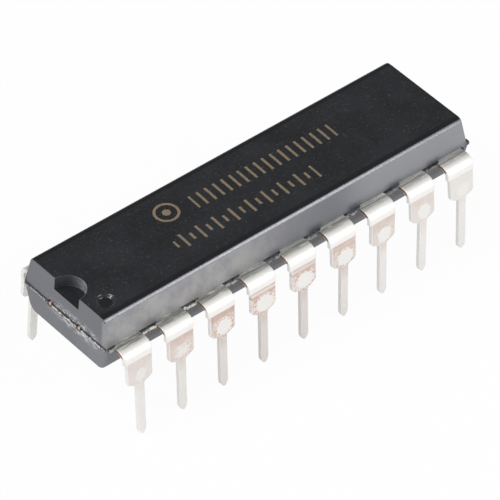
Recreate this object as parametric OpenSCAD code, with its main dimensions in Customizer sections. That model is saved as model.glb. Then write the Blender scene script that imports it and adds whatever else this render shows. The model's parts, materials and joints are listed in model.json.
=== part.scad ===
// Dual in-line package with eighteen leads: a moulded epoxy body round a stamped lead frame,
// with the silicon die, its pad and its bond wires inside. Millimetres.
// X runs along the body with the index notch at -X, the near row of leads is at -Y, and
// Z = 0 is the plane of the lead tips.

/* [Moulded body] */
// Length of the body at the parting line
body_len = 22.75; // [22.4:0.05:23.4]
// Width of the body at the parting line
body_w = 6.35; // [6.1:0.05:6.6]
// Height of the body above the parting line
upper_h = 1.62; // [1.4:0.02:1.8]
// Depth of the body below the parting line
lower_h = 1.62; // [1.4:0.02:1.8]
// Lean of both long sides away from the parting line, in degrees
side_draft = 13; // [8:0.5:16]
// Lean of the upper half's two ends, in degrees
upper_end_draft = 5.5; // [3:0.5:8]
// Lean of the lower half's two ends, in degrees
lower_end_draft = 1.75; // [1:0.25:6]
// Rounding along the two long top edges
top_edge_r = 0.28; // [0.12:0.02:0.4]
// Rounding along the two long bottom edges
bottom_edge_r = 0.5; // [0.2:0.05:0.7]

/* [Index marks] */
// Radius of the half-round notch at the pin 1 end
notch_r = 0.93; // [0.6:0.05:1.1]
// Depth of the notch below the top face
notch_depth = 0.65; // [0.4:0.05:0.9]
// Diameter of the round dimple beside pin 1
dimple_d = 0.93; // [0.6:0.01:1.2]
// Depth of the dimple
dimple_depth = 0.12; // [0.05:0.01:0.3]
// Distance of the dimple's centre in from the long top edge
dimple_from_edge = 1.01; // [0.7:0.01:1.3]
// Distance of the dimple's centre in from the end's top edge
dimple_from_end = 0.91; // [0.7:0.01:1.2]

/* [Mould marks] */
// Ledge of resin that stays between the leads once the dam bar is cut away
flash_proud = 0.18; // [0.05:0.01:0.25]
// Thin fin of resin at the parting line of both ends
end_flash_proud = 0.09; // [0.03:0.01:0.2]
// Width of the end fin
end_flash_w = 4.6; // [3:0.1:5.4]
// Thickness of the end fin
end_flash_t = 0.14; // [0.06:0.02:0.24]
// Diameter of the two ejector marks on the underside
ejector_d = 1.9; // [1:0.1:2.4]
// Depth of the ejector marks
ejector_depth = 0.05; // [0.02:0.01:0.1]
// Distance of each ejector mark from the middle of the body
ejector_x = 7.62; // [5:0.1:8.5]

/* [Leads] */
// Spacing of the leads along a row
pitch = 2.54; // [2.5:0.01:2.58]
// Width over the shoulders of both rows
lead_span = 8.2; // [7.9:0.05:8.6]
// Thickness of the stamped strip
lead_t = 0.23; // [0.2:0.01:0.3]
// Width of the shoulder and of the wide part of the leg
lead_w = 1.5; // [1.3:0.02:1.6]
// Width of the narrow part that enters the board
pin_w = 0.46; // [0.36:0.02:0.56]
// Inner radius of the bend at the shoulder
bend_r = 0.25; // [0.15:0.01:0.35]
// Outward lean of the legs, in degrees
splay = 2; // [0:0.5:4]
// Gap from the underside of the body to the board
standoff = 0.53; // [0.38:0.01:0.8]
// Length of the lead below the board's surface
pin_len = 3.25; // [2.8:0.05:3.6]
// Height over which the wide part narrows to the pin
neck_h = 0.21; // [0.1:0.01:0.4]
// Rounding of the wide part's lower corners
heel_r = 0.3; // [0.1:0.01:0.36]
// Fillet where the neck runs into the narrow pin
neck_fillet_r = 0.12; // [0.05:0.01:0.16]
// Length of the tapered tip
tip_len = 0.4; // [0.2:0.05:0.8]
// Width of the blunt end of the tip
tip_w = 0.1; // [0.08:0.02:0.3]
// Sheared stub of the dam bar on the notch side of each lead
stub_proud = 0.13; // [0.04:0.01:0.2]
// Sheared stub of the dam bar on the other side
stub_far_proud = 0.03; // [0.01:0.01:0.1]
// Distance of the stub's lower end below the parting line
stub_drop = 0.6; // [0.45:0.05:0.9]

/* [Inside the body] */
// Length of the pad that carries the die
pad_len = 3.4; // [3.2:0.1:3.6]
// Width of the pad that carries the die
pad_w = 2.8; // [2.6:0.1:2.9]
// How far the pad lies below the plane of the leads
pad_drop = 0.2; // [0.1:0.02:0.3]
// Length of the die
die_len = 2.4; // [2:0.1:2.8]
// Width of the die
die_w = 2; // [1.6:0.1:2.2]
// Thickness of the die
die_t = 0.3; // [0.2:0.02:0.38]
// Thickness of the adhesive under the die
glue_t = 0.03; // [0.02:0.01:0.06]
// Margin of adhesive round the die
glue_margin = 0.08; // [0.04:0.02:0.14]
// Width of a lead's inner finger
finger_w = 0.3; // [0.24:0.02:0.32]
// Gap between neighbouring parts of the stamped frame
frame_gap = 0.22; // [0.2:0.01:0.26]
// Width of the tie bars that hold the pad
tie_w = 0.3; // [0.2:0.02:0.36]
// Half the distance between the two tie ends that show at each end of the body
tie_end_y = 1.1; // [0.9:0.05:1.3]
// Diameter of a bond wire
wire_d = 0.03; // [0.02:0.005:0.05]
// Height of a bond wire's loop above the die
wire_loop = 0.2; // [0.12:0.02:0.3]

/* [Hidden] */
$fn = 48;
leads_per_row = 9;
lead_count = 2*leads_per_row;
middle_lead = (leads_per_row + 1)/2;

// Heights of the main planes
seat_z = pin_len;
underside_z = seat_z + standoff;
parting_z = underside_z + lower_h;

// Half sizes of the body
wall_y = body_w/2;
end_x = body_len/2;
top_y = wall_y - upper_h*tan(side_draft);
top_x = end_x - upper_h*tan(upper_end_draft);

// Bend of the lead
bend_out_r = bend_r + lead_t;
bend_y = lead_span/2 - bend_out_r;
bend_z = lead_t/2 - bend_out_r;
stub_start_y = wall_y + 0.08;

// Stamped frame inside the body
anchor_len = 0.45;
root_w = 0.9;
elbow = 0.45;
tip_lap = 0.35;
run_step = finger_w + frame_gap;
first_run_y = tie_w/2 + frame_gap + finger_w/2;
pad_reach_x = pad_len/2 + frame_gap;
pad_reach_y = pad_w/2 + frame_gap;
fourth_tip_x = 0.3*pad_len;
tie_yoke_x = end_x - 0.62;
joggle_len = 0.5;

// Die and wires, measured from the parting plane
pad_top = lead_t/2 - pad_drop;
die_top = pad_top + glue_t + die_t;
finger_top = lead_t/2;
bond_inset = 0.15;
die_bond_inset = 0.12;
wire_sides = 8;
loop_rings = 7;
ball_r = 1.5*wire_d;
ball_h = 0.9*wire_d;
stitch_len = 1.4*wire_d;
stitch_t = 0.4*wire_d;
stitch_w = 1.8*wire_d;

// Room that cutting shapes run past the solid that they cut
slack = 1;

resin_colour = "#2f2f31";
tin_colour = "#d9d8d5";
copper_colour = "#b5775a";
gold_colour = "#d9b04a";
silver_glue_colour = "#9b9c9e";
silicon_colour = "#5d6672";

function numbered(stem, n) = str(stem, n < 10 ? "0" : "", n);

// Place of lead i of a row along the body, counted from the notch end
function lead_x(i) = (i - middle_lead)*pitch;

function unit(v) = v/norm(v);
function segment(p, i) = unit(p[i] - p[i - 1]);

// Sideways step that keeps a strip's width through its corner i
function mitre(p, i) =
    let (a = segment(p, max(i, 1)), b = segment(p, min(i + 1, len(p) - 1)), m = unit(a + b))
    [-m[1], m[0]]/(m*a);

// Outline of a flat strip that follows the points p with the widths w
function strip_outline(p, w) = concat(
    [for (i = [0 : len(p) - 1]) p[i] + w[i]/2*mitre(p, i)],
    [for (i = [len(p) - 1 : -1 : 0]) p[i] - w[i]/2*mitre(p, i)]
);

function mirrored(p) = [for (q = p) [-q[0], q[1]]];

// Middle line of the inner finger of lead i, from its root at the wall to its bonding tip
function finger_path(i) =
    i > middle_lead ? mirrored(finger_path(leads_per_row + 1 - i)) :
    let (x = lead_x(i), root = [x, anchor_len - wall_y], run_y = run_of(i))
    i >= middle_lead - 1 ?
        let (tip_x = -(middle_lead - i)*fourth_tip_x)
        [root, [tip_x, -pad_reach_y - tip_lap], [tip_x, -pad_reach_y]] :
        [root, [x, -run_y - elbow], [x + elbow, -run_y], [-pad_reach_x, -run_y]];

function run_of(i) = first_run_y + (i - 1)*run_step;

function finger_widths(i) =
    concat([root_w], [for (k = [2 : len(finger_path(i))]) finger_w]);

// Where the wire of lead i is stitched to its finger
function finger_bond(i) =
    let (p = finger_path(i), last = len(p) - 1)
    p[last] - bond_inset*segment(p, last);

// Where the wire of lead i leaves the die
function die_bond(i) =
    i > middle_lead ? mirrored([die_bond(leads_per_row + 1 - i)])[0] :
    let (x = die_len/2 - die_bond_inset, y = die_w/2 - die_bond_inset)
    i >= middle_lead - 1 ? [-x*(middle_lead - i)/2, -y] : [-x, -y*i/(middle_lead - 2)];

// Middle point, direction and the two half sizes of each ring of a bond wire of plan length
// reach: a squashed ball, a cubic loop and a flat stitch
function wire_start() = [0, die_top + ball_h];
function wire_end(reach) = [reach, finger_top + wire_d/2*cos(180/wire_sides)];
function loop_point(t, reach) =
    let (a = wire_start(), d = wire_end(reach), b = a + [0, 1.9*wire_loop], c = [0.55*reach, d[1]])
    pow(1 - t, 3)*a + 3*t*pow(1 - t, 2)*b + 3*t*t*(1 - t)*c + pow(t, 3)*d;
function loop_direction(t, reach) =
    t >= 1 ? [1, 0] : unit(loop_point(t + 0.01, reach) - loop_point(t, reach));
function wire_rings(reach) = concat(
    [[[0, die_top], [0, 1], 0.8*ball_r, 0.8*ball_r],
     [[0, die_top + 0.45*ball_h], [0, 1], ball_r, ball_r],
     [[0, die_top + ball_h], [0, 1], 0.55*ball_r, 0.55*ball_r]],
    [for (k = [1 : loop_rings]) let (t = k/loop_rings)
        [loop_point(t, reach), loop_direction(t, reach), wire_d/2, wire_d/2]],
    let (stitch_end = [reach + stitch_len, finger_top + stitch_t/2*cos(180/wire_sides)])
    [[stitch_end, [1, 0], stitch_t/2, stitch_w/2]]
);
function ring_points(ring) =
    let (c = ring[0], d = ring[1])
    [for (j = [0 : wire_sides - 1]) let (a = (j + 0.5)*360/wire_sides)
        [c[0] - ring[2]*cos(a)*d[1], ring[3]*sin(a), c[1] + ring[2]*cos(a)*d[0]]];

// Half of the body's end view, with the parting line at y = 0
module half_end_view(h, draft, r) {
    w = wall_y - h*tan(draft);
    reach = r*tan((90 - draft)/2);
    difference() {
        polygon([[-wall_y, 0], [wall_y, 0], [w, h], [-w, h]]);
        for (side = [0, 1]) mirror([side, 0]) difference() {
            polygon([[w - reach, h], [w, h], [w, h] + reach*[sin(draft), -cos(draft)]]);
            translate([w - reach, h - r]) circle(r);
        }
    }
}

// Both halves of the body without its marks, with the parting plane at z = 0
module blank_body() {
    intersection() {
        rotate([90, 0, 90]) translate([0, 0, -end_x - slack]) linear_extrude(2*(end_x + slack)) {
            half_end_view(upper_h, side_draft, top_edge_r);
            mirror([0, 1]) half_end_view(lower_h, side_draft, bottom_edge_r);
        }
        rotate([90, 0, 0]) translate([0, 0, -wall_y - slack]) linear_extrude(2*(wall_y + slack))
            polygon([
                [-end_x, 0], [-top_x, upper_h], [top_x, upper_h], [end_x, 0],
                [end_x - lower_h*tan(lower_end_draft), -lower_h],
                [-end_x + lower_h*tan(lower_end_draft), -lower_h]
            ]);
    }
}

// Resin that filled the window between two leads up to the dam bar, from x0 to x1
module dam_flash(x0, x1) {
    inner_y = wall_y - lead_t;
    translate([x0, -wall_y - flash_proud, -lead_t/2])
        cube([x1 - x0, wall_y + flash_proud - inner_y, lead_t]);
}

module row_of_dam_flash() {
    right_edge = lead_w/2;
    left_edge = -lead_w/2;
    margin = 0.06;
    dam_flash(-end_x + margin, lead_x(1) + left_edge);
    for (i = [1 : leads_per_row - 1]) dam_flash(lead_x(i) + right_edge, lead_x(i + 1) + left_edge);
    dam_flash(lead_x(leads_per_row) + right_edge, end_x - margin);
}

// Thin fin at the parting line of one end
module end_flash() {
    root = 0.3;
    translate([end_x - root, -end_flash_w/2, -end_flash_t])
        cube([root + end_flash_proud, end_flash_w, end_flash_t]);
}

module index_notch() {
    translate([-top_x, 0, upper_h - notch_depth]) cylinder(r = notch_r, h = notch_depth + slack);
}

module pin_one_dimple() {
    floor_d = 0.78*dimple_d;
    translate([dimple_from_end - top_x, dimple_from_edge - top_y, upper_h - dimple_depth])
        cylinder(d1 = floor_d, d2 = dimple_d, h = dimple_depth);
}

module ejector_mark(x) {
    translate([x, 0, -lower_h - slack]) cylinder(d = ejector_d, h = slack + ejector_depth);
}

// Side view of a lead's strip beside the finger: shoulder, bend and leaning leg
module strip_side_view() {
    leg_len = parting_z + slack;
    translate([0, -lead_t/2]) square([bend_y, lead_t]);
    translate([bend_y, bend_z]) {
        intersection() {
            difference() {
                circle(bend_out_r);
                circle(bend_r);
            }
            polygon([
                [0, 0], [0, 2*bend_out_r], [2*bend_out_r, 2*bend_out_r],
                2*bend_out_r*[cos(splay), sin(splay)]
            ]);
        }
        rotate(splay) translate([bend_r, -leg_len]) square([lead_t, leg_len]);
    }
}

module strip_solid(x0, x1) {
    mirror([0, 1, 0]) translate([x0, 0, 0]) rotate([90, 0, 90]) linear_extrude(x1 - x0) strip_side_view();
}

// Front view of the leg below the dam bar: wide part with rounded heels, filleted neck, pin and tip
module leg_front_view() {
    wide = lead_w/2;
    pin = pin_w/2;
    neck_top = seat_z + neck_h - parting_z;
    neck_bottom = seat_z - parting_z;
    tip_top = tip_len - parting_z;
    neck_angle = atan2(neck_h, wide - pin);
    heel_reach = heel_r*tan((90 - neck_angle)/2);
    fillet_reach = neck_fillet_r*tan((90 - neck_angle)/2);
    along_neck = [cos(neck_angle), sin(neck_angle)];
    difference() {
        polygon([
            [-wide, -stub_drop], [wide, -stub_drop], [wide, neck_top], [pin, neck_bottom],
            [pin, tip_top], [-pin, tip_top], [-pin, neck_bottom], [-wide, neck_top]
        ]);
        for (side = [0, 1]) mirror([side, 0]) difference() {
            polygon([
                [wide, neck_top + heel_reach], [wide, neck_top],
                [wide, neck_top] - heel_reach*along_neck
            ]);
            translate([wide - heel_r, neck_top + heel_reach]) circle(heel_r);
        }
    }
    for (side = [0, 1]) mirror([side, 0]) difference() {
        polygon([
            [pin, neck_bottom - fillet_reach], [pin, neck_bottom] + fillet_reach*along_neck,
            [pin, neck_bottom]
        ]);
        translate([pin + neck_fillet_r, neck_bottom - fillet_reach]) circle(neck_fillet_r);
    }
    pin_tip(pin, tip_top);
}

// Pointed arch upside down: each side curves in from the pin's edge to the blunt end
module pin_tip(pin, top) {
    narrowing = pin - tip_w/2;
    r = (tip_len*tip_len + narrowing*narrowing)/(2*narrowing);
    intersection() {
        translate([-pin, top - tip_len]) square([2*pin, tip_len]);
        translate([pin - r, top]) circle(r);
        translate([r - pin, top]) circle(r);
    }
}

// Plan of a lead's flat part: finger, anchor and shoulder with the dam bar's stubs
module lead_plan(i) {
    x = lead_x(i);
    reach_y = lead_span/2 + slack;
    polygon(strip_outline(finger_path(i), finger_widths(i)));
    translate([x - lead_w/2, -reach_y]) square([lead_w, reach_y - wall_y + anchor_len]);
    translate([x - lead_w/2 - stub_proud, -reach_y])
        square([lead_w + stub_proud + stub_far_proud, reach_y - stub_start_y]);
}

// Lead i of the near row, with the parting plane at z = 0
module row_lead(i) {
    x = lead_x(i);
    intersection() {
        strip_solid(-end_x, end_x);
        translate([0, 0, -stub_drop]) linear_extrude(stub_drop + lead_t) lead_plan(i);
    }
    intersection() {
        strip_solid(x - lead_w, x + lead_w);
        translate([x, -wall_y, 0]) rotate([90, 0, 0]) linear_extrude(lead_span) leg_front_view();
    }
}

// Lead n by its pin number, counted round the package from the notch
module lead(n) {
    if (n <= leads_per_row) row_lead(n);
    else mirror([0, 1, 0]) row_lead(lead_count + 1 - n);
}

// Pad with its tie bars: one stamping, stepped down between the ties and the pad
module pad_stamping() {
    ties_reach = end_x + end_flash_proud;
    step_start = pad_len/2 + joggle_len + frame_gap;
    step_end = pad_len/2 + frame_gap;
    intersection() {
        rotate([90, 0, 0]) translate([0, 0, -wall_y]) linear_extrude(2*wall_y) polygon(concat(
            pad_side_line(ties_reach, step_start, step_end, lead_t/2),
            reversed(pad_side_line(ties_reach, step_start, step_end, -lead_t/2))
        ));
        translate([0, 0, -slack]) linear_extrude(2*slack) {
            square([pad_len, pad_w], center = true);
            square([2*tie_yoke_x, tie_w], center = true);
            for (side = [-1, 1]) {
                translate([side*tie_yoke_x, 0]) square([tie_w, 2*tie_end_y + tie_w], center = true);
                for (edge = [-1, 1]) translate([side*(tie_yoke_x + ties_reach)/2, edge*tie_end_y])
                    square([ties_reach - tie_yoke_x + tie_w, tie_w], center = true);
            }
        }
    }
}

function pad_side_line(reach, start, end, z) = [
    [-reach - slack, z], [-start, z], [-end, z - pad_drop], [end, z - pad_drop], [start, z], [reach + slack, z]
];
function reversed(p) = [for (i = [len(p) - 1 : -1 : 0]) p[i]];

module glue_layer() {
    size = [die_len + 2*glue_margin, die_w + 2*glue_margin, glue_t];
    translate([-size[0]/2, -size[1]/2, pad_top]) cube(size);
}

module die_block() {
    translate([-die_len/2, -die_w/2, pad_top + glue_t]) cube([die_len, die_w, die_t]);
}

// Wire of lead i of the near row: a closed tube through its rings
module row_wire(i) {
    from = die_bond(i);
    run = finger_bond(i) - from;
    rings = wire_rings(norm(run));
    last = len(rings) - 1;
    points = [for (ring = rings) each ring_points(ring)];
    sides = [for (k = [0 : last - 1]) for (j = [0 : wire_sides - 1])
        let (a = k*wire_sides + j, b = k*wire_sides + (j + 1)%wire_sides)
        [a, a + wire_sides, b + wire_sides, b]];
    first_cap = [for (j = [0 : wire_sides - 1]) j];
    last_cap = [for (j = [wire_sides - 1 : -1 : 0]) last*wire_sides + j];
    translate([from[0], from[1], 0]) rotate([0, 0, atan2(run[1], run[0])])
        polyhedron(points, concat(sides, [first_cap, last_cap]));
}

module wire(n) {
    if (n <= leads_per_row) row_wire(n);
    else mirror([0, 1, 0]) row_wire(lead_count + 1 - n);
}

module moulded_body() {
    color(resin_colour) translate([0, 0, parting_z]) difference() {
        union() {
            blank_body();
            row_of_dam_flash();
            mirror([0, 1, 0]) row_of_dam_flash();
            end_flash();
            mirror([1, 0, 0]) end_flash();
        }
        index_notch();
        pin_one_dimple();
        for (side = [-1, 1]) ejector_mark(side*ejector_x);
        for (n = [1 : lead_count]) lead(n);
        pad_stamping();
        glue_layer();
        die_block();
        for (n = [1 : lead_count]) wire(n);
    }
}

module die_pad() {
    color(copper_colour) translate([0, 0, parting_z]) intersection() {
        pad_stamping();
        cube([2*(end_x + end_flash_proud), body_w, body_w], center = true);
    }
}

module die_attach() {
    color(silver_glue_colour) translate([0, 0, parting_z]) glue_layer();
}

module die() {
    color(silicon_colour) translate([0, 0, parting_z]) die_block();
}

module placed_lead(n) {
    color(tin_colour) translate([0, 0, parting_z]) lead(n);
}

module placed_wire(n) {
    color(gold_colour) translate([0, 0, parting_z]) wire(n);
}

moulded_body();
die_pad();
die_attach();
die();
for (n = [1 : lead_count]) {
    placed_lead(n);
    placed_wire(n);
}
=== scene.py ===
# %% [markdown]
# # An 18-lead dual in-line package
#
# The object is an integrated circuit in a plastic dual in-line package: a stamped and tinned copper lead
# frame with a bar of black epoxy compound cast round it. It stands on the tips of its 18 leads. The solids
# come from the CAD model as a fixed frame. This script dresses them: it makes finer surfaces for the
# moulding, the leads and the ragged resin flash, gives every piece its material, and sets up the floor,
# the lights and the camera.
#
# Lengths are written in millimetres, because the drawings of such a package are. They are turned into
# metres where a mesh is made, and where the floor, the lamps and the camera are placed.

# %% Load the frame
import functools
import json
import math

import bmesh
import bpy
import numpy as np
from mathutils import Matrix, Vector

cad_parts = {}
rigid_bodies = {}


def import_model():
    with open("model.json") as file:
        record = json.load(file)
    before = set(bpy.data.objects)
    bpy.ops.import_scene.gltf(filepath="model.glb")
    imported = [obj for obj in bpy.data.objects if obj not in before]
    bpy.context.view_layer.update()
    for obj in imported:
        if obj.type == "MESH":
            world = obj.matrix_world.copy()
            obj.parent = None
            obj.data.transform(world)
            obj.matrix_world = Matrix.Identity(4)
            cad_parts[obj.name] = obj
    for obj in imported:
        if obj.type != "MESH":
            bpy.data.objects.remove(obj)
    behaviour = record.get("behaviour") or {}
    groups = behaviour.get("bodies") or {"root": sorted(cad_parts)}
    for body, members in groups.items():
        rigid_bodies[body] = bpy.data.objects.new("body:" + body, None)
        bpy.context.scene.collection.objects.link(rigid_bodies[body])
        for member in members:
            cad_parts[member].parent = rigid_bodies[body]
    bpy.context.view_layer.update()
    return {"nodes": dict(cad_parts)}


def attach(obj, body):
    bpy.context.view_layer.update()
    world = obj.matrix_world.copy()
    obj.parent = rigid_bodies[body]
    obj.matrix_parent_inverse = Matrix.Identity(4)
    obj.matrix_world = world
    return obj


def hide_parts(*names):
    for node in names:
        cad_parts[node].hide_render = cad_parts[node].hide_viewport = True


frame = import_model()
NODES = frame["nodes"]
MM = 0.001
print("nodes in the frame:", len(NODES))

# %% [markdown]
# ## The dimensions
#
# These are the sizes of the drawing, with the seating tips at a height of 0. The parting plane is where the
# two halves of the mould meet, and the strip of the lead frame lies in it.

# %% Dimensions in millimetres
PITCH = 2.54
PER_ROW = 9
PARTING_Z = 5.40
HALF_HEIGHT = 1.62
TOP_Z = PARTING_Z + HALF_HEIGHT
UNDERSIDE_Z = PARTING_Z - HALF_HEIGHT
WALL_Y = 3.175
END_X = 11.375
SIDE_DRAFT = math.radians(13)
UPPER_END_DRAFT = math.radians(5.5)
LOWER_END_DRAFT = math.radians(1.75)
TOP_EDGE_R = 0.28
BOTTOM_EDGE_R = 0.5
STRIP_T = 0.23
LEAD_W = 1.5
PIN_W = 0.46
print("body", 2*END_X, "x", 2*WALL_Y, "x", 2*HALF_HEIGHT, "mm, top at", TOP_Z)


def place_in_row(n):
    """Place 1 to 9 of lead n, 1 to 18, from the notch end: the far row is numbered back, so it is 19 - n."""
    return n if n <= PER_ROW else 2*PER_ROW + 1 - n


def lead_x(n):
    """Place of lead n along the body: its place in the row less 5, times the pitch."""
    return (place_in_row(n) - (PER_ROW + 1)/2)*PITCH


# %% [markdown]
# ## Helpers for meshes
#
# A piece could be pulled into shape by hand in edit mode, but then its sizes could not be read from a
# drawing. Here each new piece is a surface worked out as a whole array of points. A grid of rows and
# columns becomes quadrilaterals by plain index arithmetic, so no loop runs over the vertices. One function
# turns the arrays into a mesh, merges the points that fall together at poles and seams, turns all faces
# outwards, and keeps the steep edges sharp in the shading.

# %% Quads of a grid
def grid_faces(rows, cols):
    """Quads (i, j), (i, j+1), (i+1, j+1), (i+1, j) between rows of points; columns close to a ring."""
    i = np.arange(rows - 1)[:, None]
    j = np.arange(cols)[None, :]
    k = (j + 1) % cols
    quads = np.stack([i*cols + j, i*cols + k, (i + 1)*cols + k, (i + 1)*cols + j], -1)
    return quads.reshape(-1, 4).tolist()


print("a grid of 3 x 4 points has", len(grid_faces(3, 4)), "quads")


# %% A mesh from arrays
MERGE_WITHIN = 1e-7


def make_mesh(name, points, faces, attributes=None, sharp=30.0):
    """A mesh in metres from points in mm, with its attributes; edges over `sharp` degrees stay sharp."""
    mesh = bpy.data.meshes.new(name)
    mesh.from_pydata((np.asarray(points)*MM).tolist(), [], faces)
    for key, values in (attributes or {}).items():
        layer = mesh.attributes.new(key, "FLOAT", "POINT")
        layer.data.foreach_set("value", np.asarray(values, np.float32).ravel())
    work = bmesh.new()
    work.from_mesh(mesh)
    bmesh.ops.remove_doubles(work, verts=work.verts, dist=MERGE_WITHIN)
    bmesh.ops.dissolve_degenerate(work, edges=work.edges, dist=MERGE_WITHIN/10)
    bmesh.ops.recalc_face_normals(work, faces=work.faces)
    work.to_mesh(mesh)
    work.free()
    mesh.shade_smooth()
    mesh.set_sharp_from_angle(angle=math.radians(sharp))
    return mesh


print("points within", MERGE_WITHIN, "m of each other are merged")


# %% A piece from a mesh
def add_piece(mesh, materials, stands_for=()):
    """Puts the mesh in the scene as a piece that rides on the body and takes its finish from a slot."""
    piece = bpy.data.objects.new(mesh.name, mesh)
    bpy.context.scene.collection.objects.link(piece)
    for material in materials:
        mesh.materials.append(material)
    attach(piece, "root")
    if stands_for:
        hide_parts(*stands_for)
    return piece


# %% [markdown]
# ## Helpers for materials
#
# Colours are written as the hex values that an eye or a paint chart gives, and one function turns them into
# the linear numbers that Blender wants. One other function adds a node, whatever its kind, with its
# settings and its links: a node that is given as an input is linked from its first output that is in use.
# Patterns read the place on the object in millimetres, so the scale of a noise is 1 divided by the size of
# its grains.

# %% Colours
def linear(colour):
    """sRGB to linear: ((c + 0.055)/1.055)^2.4 above 0.04045, and c/12.92 below it."""
    rgb = np.array([int(colour[k:k + 2], 16) for k in (1, 3, 5)])/255
    value = np.where(rgb > 0.04045, ((rgb + 0.055)/1.055)**2.4, rgb/12.92)
    return (*value.tolist(), 1.0)


print("mid grey #808080 is", round(linear("#808080")[0], 3), "in linear light")

# %% Nodes
SMOOTH = {"interpolation_type": "SMOOTHSTEP"}
COLOUR = {"data_type": "RGBA"}


def node(tree, kind, inputs=(), **settings):
    """Adds a node with its settings, and fills its inputs, by name or in order, with values or links."""
    made = tree.nodes.new(kind)
    for key, value in settings.items():
        setattr(made, key, value)
    in_use = [socket for socket in made.inputs if socket.enabled]
    for key, value in inputs.items() if isinstance(inputs, dict) else enumerate(inputs):
        socket = made.inputs[key] if isinstance(key, str) else in_use[key]
        if isinstance(value, bpy.types.Node):
            value = next(output for output in value.outputs if output.enabled)
        if isinstance(value, bpy.types.NodeSocket):
            tree.links.new(value, socket)
        else:
            socket.default_value = value
    return made


print("a smooth step is a Map Range node with", SMOOTH)


# %% A new material
def new_material(name):
    """Starts a material: returns it, `node` bound to its empty tree, and the place on the object in mm."""
    material = bpy.data.materials.new(name)
    material.use_nodes = True
    material.node_tree.nodes.clear()
    add = functools.partial(node, material.node_tree)
    where = add("ShaderNodeTexCoord").outputs["Object"]
    return material, add, add("ShaderNodeMapping", {"Vector": where, "Scale": (1/MM, 1/MM, 1/MM)})


print("places are multiplied by", 1/MM, "so that patterns are in mm")


# %% [markdown]
# ## The moulding compound
#
# The body is epoxy filled with fused silica and blackened with carbon. Cast against a fine-eroded steel
# mould it comes out satin: the top is the dullest and darkest face, with pale specks where grains of
# silica reach the surface. The walls were drawn along the steel when the part was pushed out, which
# polishes them, and the long edges were polished most. Beside them the top ends in a smooth rim without
# specks, whose darker colour is a painted dark reflection of the room above.
#
# A painted image could give all that, but it would blur close up and would need an unwrapped mesh. Noises
# that read the place on the object stay sharp and need none.
#
# The silica grains are 0.02 to 0.07 mm across. They are drawn at 0.1 mm, or they would not show.
# The index of refraction of epoxy is about 1.55. On the walls it is set much higher, because the steel has
# drawn a film of release wax over them: they mirror the pale floor as strongly as a lacquered surface
# does, and yet the compound itself stays black.

# %% Grain of the compound
CLOUD_SIZE, GRAIN_SIZE, SPECK_SIZE = 2.2, 0.12, 0.10


def compound_tone(add, place, base, pale, speck):
    """Soft clouds, fine grain and sparse pale specks over a black base; also gives the fine noise.

    A speck lies in the middle of a Voronoi cell, and the cell's random colour decides how bright it is.
    """
    cloud = add("ShaderNodeTexNoise",
                {"Vector": place, "Scale": 1/CLOUD_SIZE, "Detail": 4.0, "Roughness": 0.6})
    fine = add("ShaderNodeTexNoise",
               {"Vector": place, "Scale": 1/GRAIN_SIZE, "Detail": 3.0, "Roughness": 0.75})
    clouds = add("ShaderNodeMapRange", [cloud, 0.35, 0.7, 0.0, 0.6], **SMOOTH)
    tone = add("ShaderNodeMix", [clouds, linear(base), linear(pale)], **COLOUR)
    grainy = add("ShaderNodeMapRange", [fine, 0.45, 0.8, 0.0, 0.9], **SMOOTH)
    tone = add("ShaderNodeMix", [grainy, tone, linear(pale)], **COLOUR)
    cells = add("ShaderNodeTexVoronoi", {"Vector": place, "Scale": 1/SPECK_SIZE})
    pick = add("ShaderNodeSeparateColor", [cells.outputs["Color"]])
    bright = add("ShaderNodeMath", [pick.outputs[1], 2.0], operation="POWER")
    chosen = add("ShaderNodeMapRange", [pick, 0.25, 0.95, 0.0, bright], **SMOOTH)
    spot = add("ShaderNodeMapRange", [cells.outputs["Distance"], 0.45, 0.15, 0.0, chosen], **SMOOTH)
    share = add("ShaderNodeMath", [spot, 0.28], operation="MULTIPLY")
    return add("ShaderNodeMix", [share, tone, linear(speck)], **COLOUR), fine


print("clouds of", CLOUD_SIZE, "mm, grains of", GRAIN_SIZE, "mm and specks of", SPECK_SIZE, "mm")


# %% [markdown]
# ### The marking
#
# A laser browns the compound where it writes, and the mark has no thickness. So it is not geometry but a
# mask in the top's material: a row of ticks is a saw wave of x compared with a width, and a ring is the
# distance from its centre compared with a radius.

# %% The marking
JIG_TURN = math.radians(1.7)
TICK_HALF_PITCH = 0.25
STROKE_HALF = 0.07
LONG_TICK_HALF, SHORT_TICK_HALF = 0.48, 0.24
RING_CENTRE, RING_R, DOT_R = (-4.25, 1.05, 0), 0.60, 0.22


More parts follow.
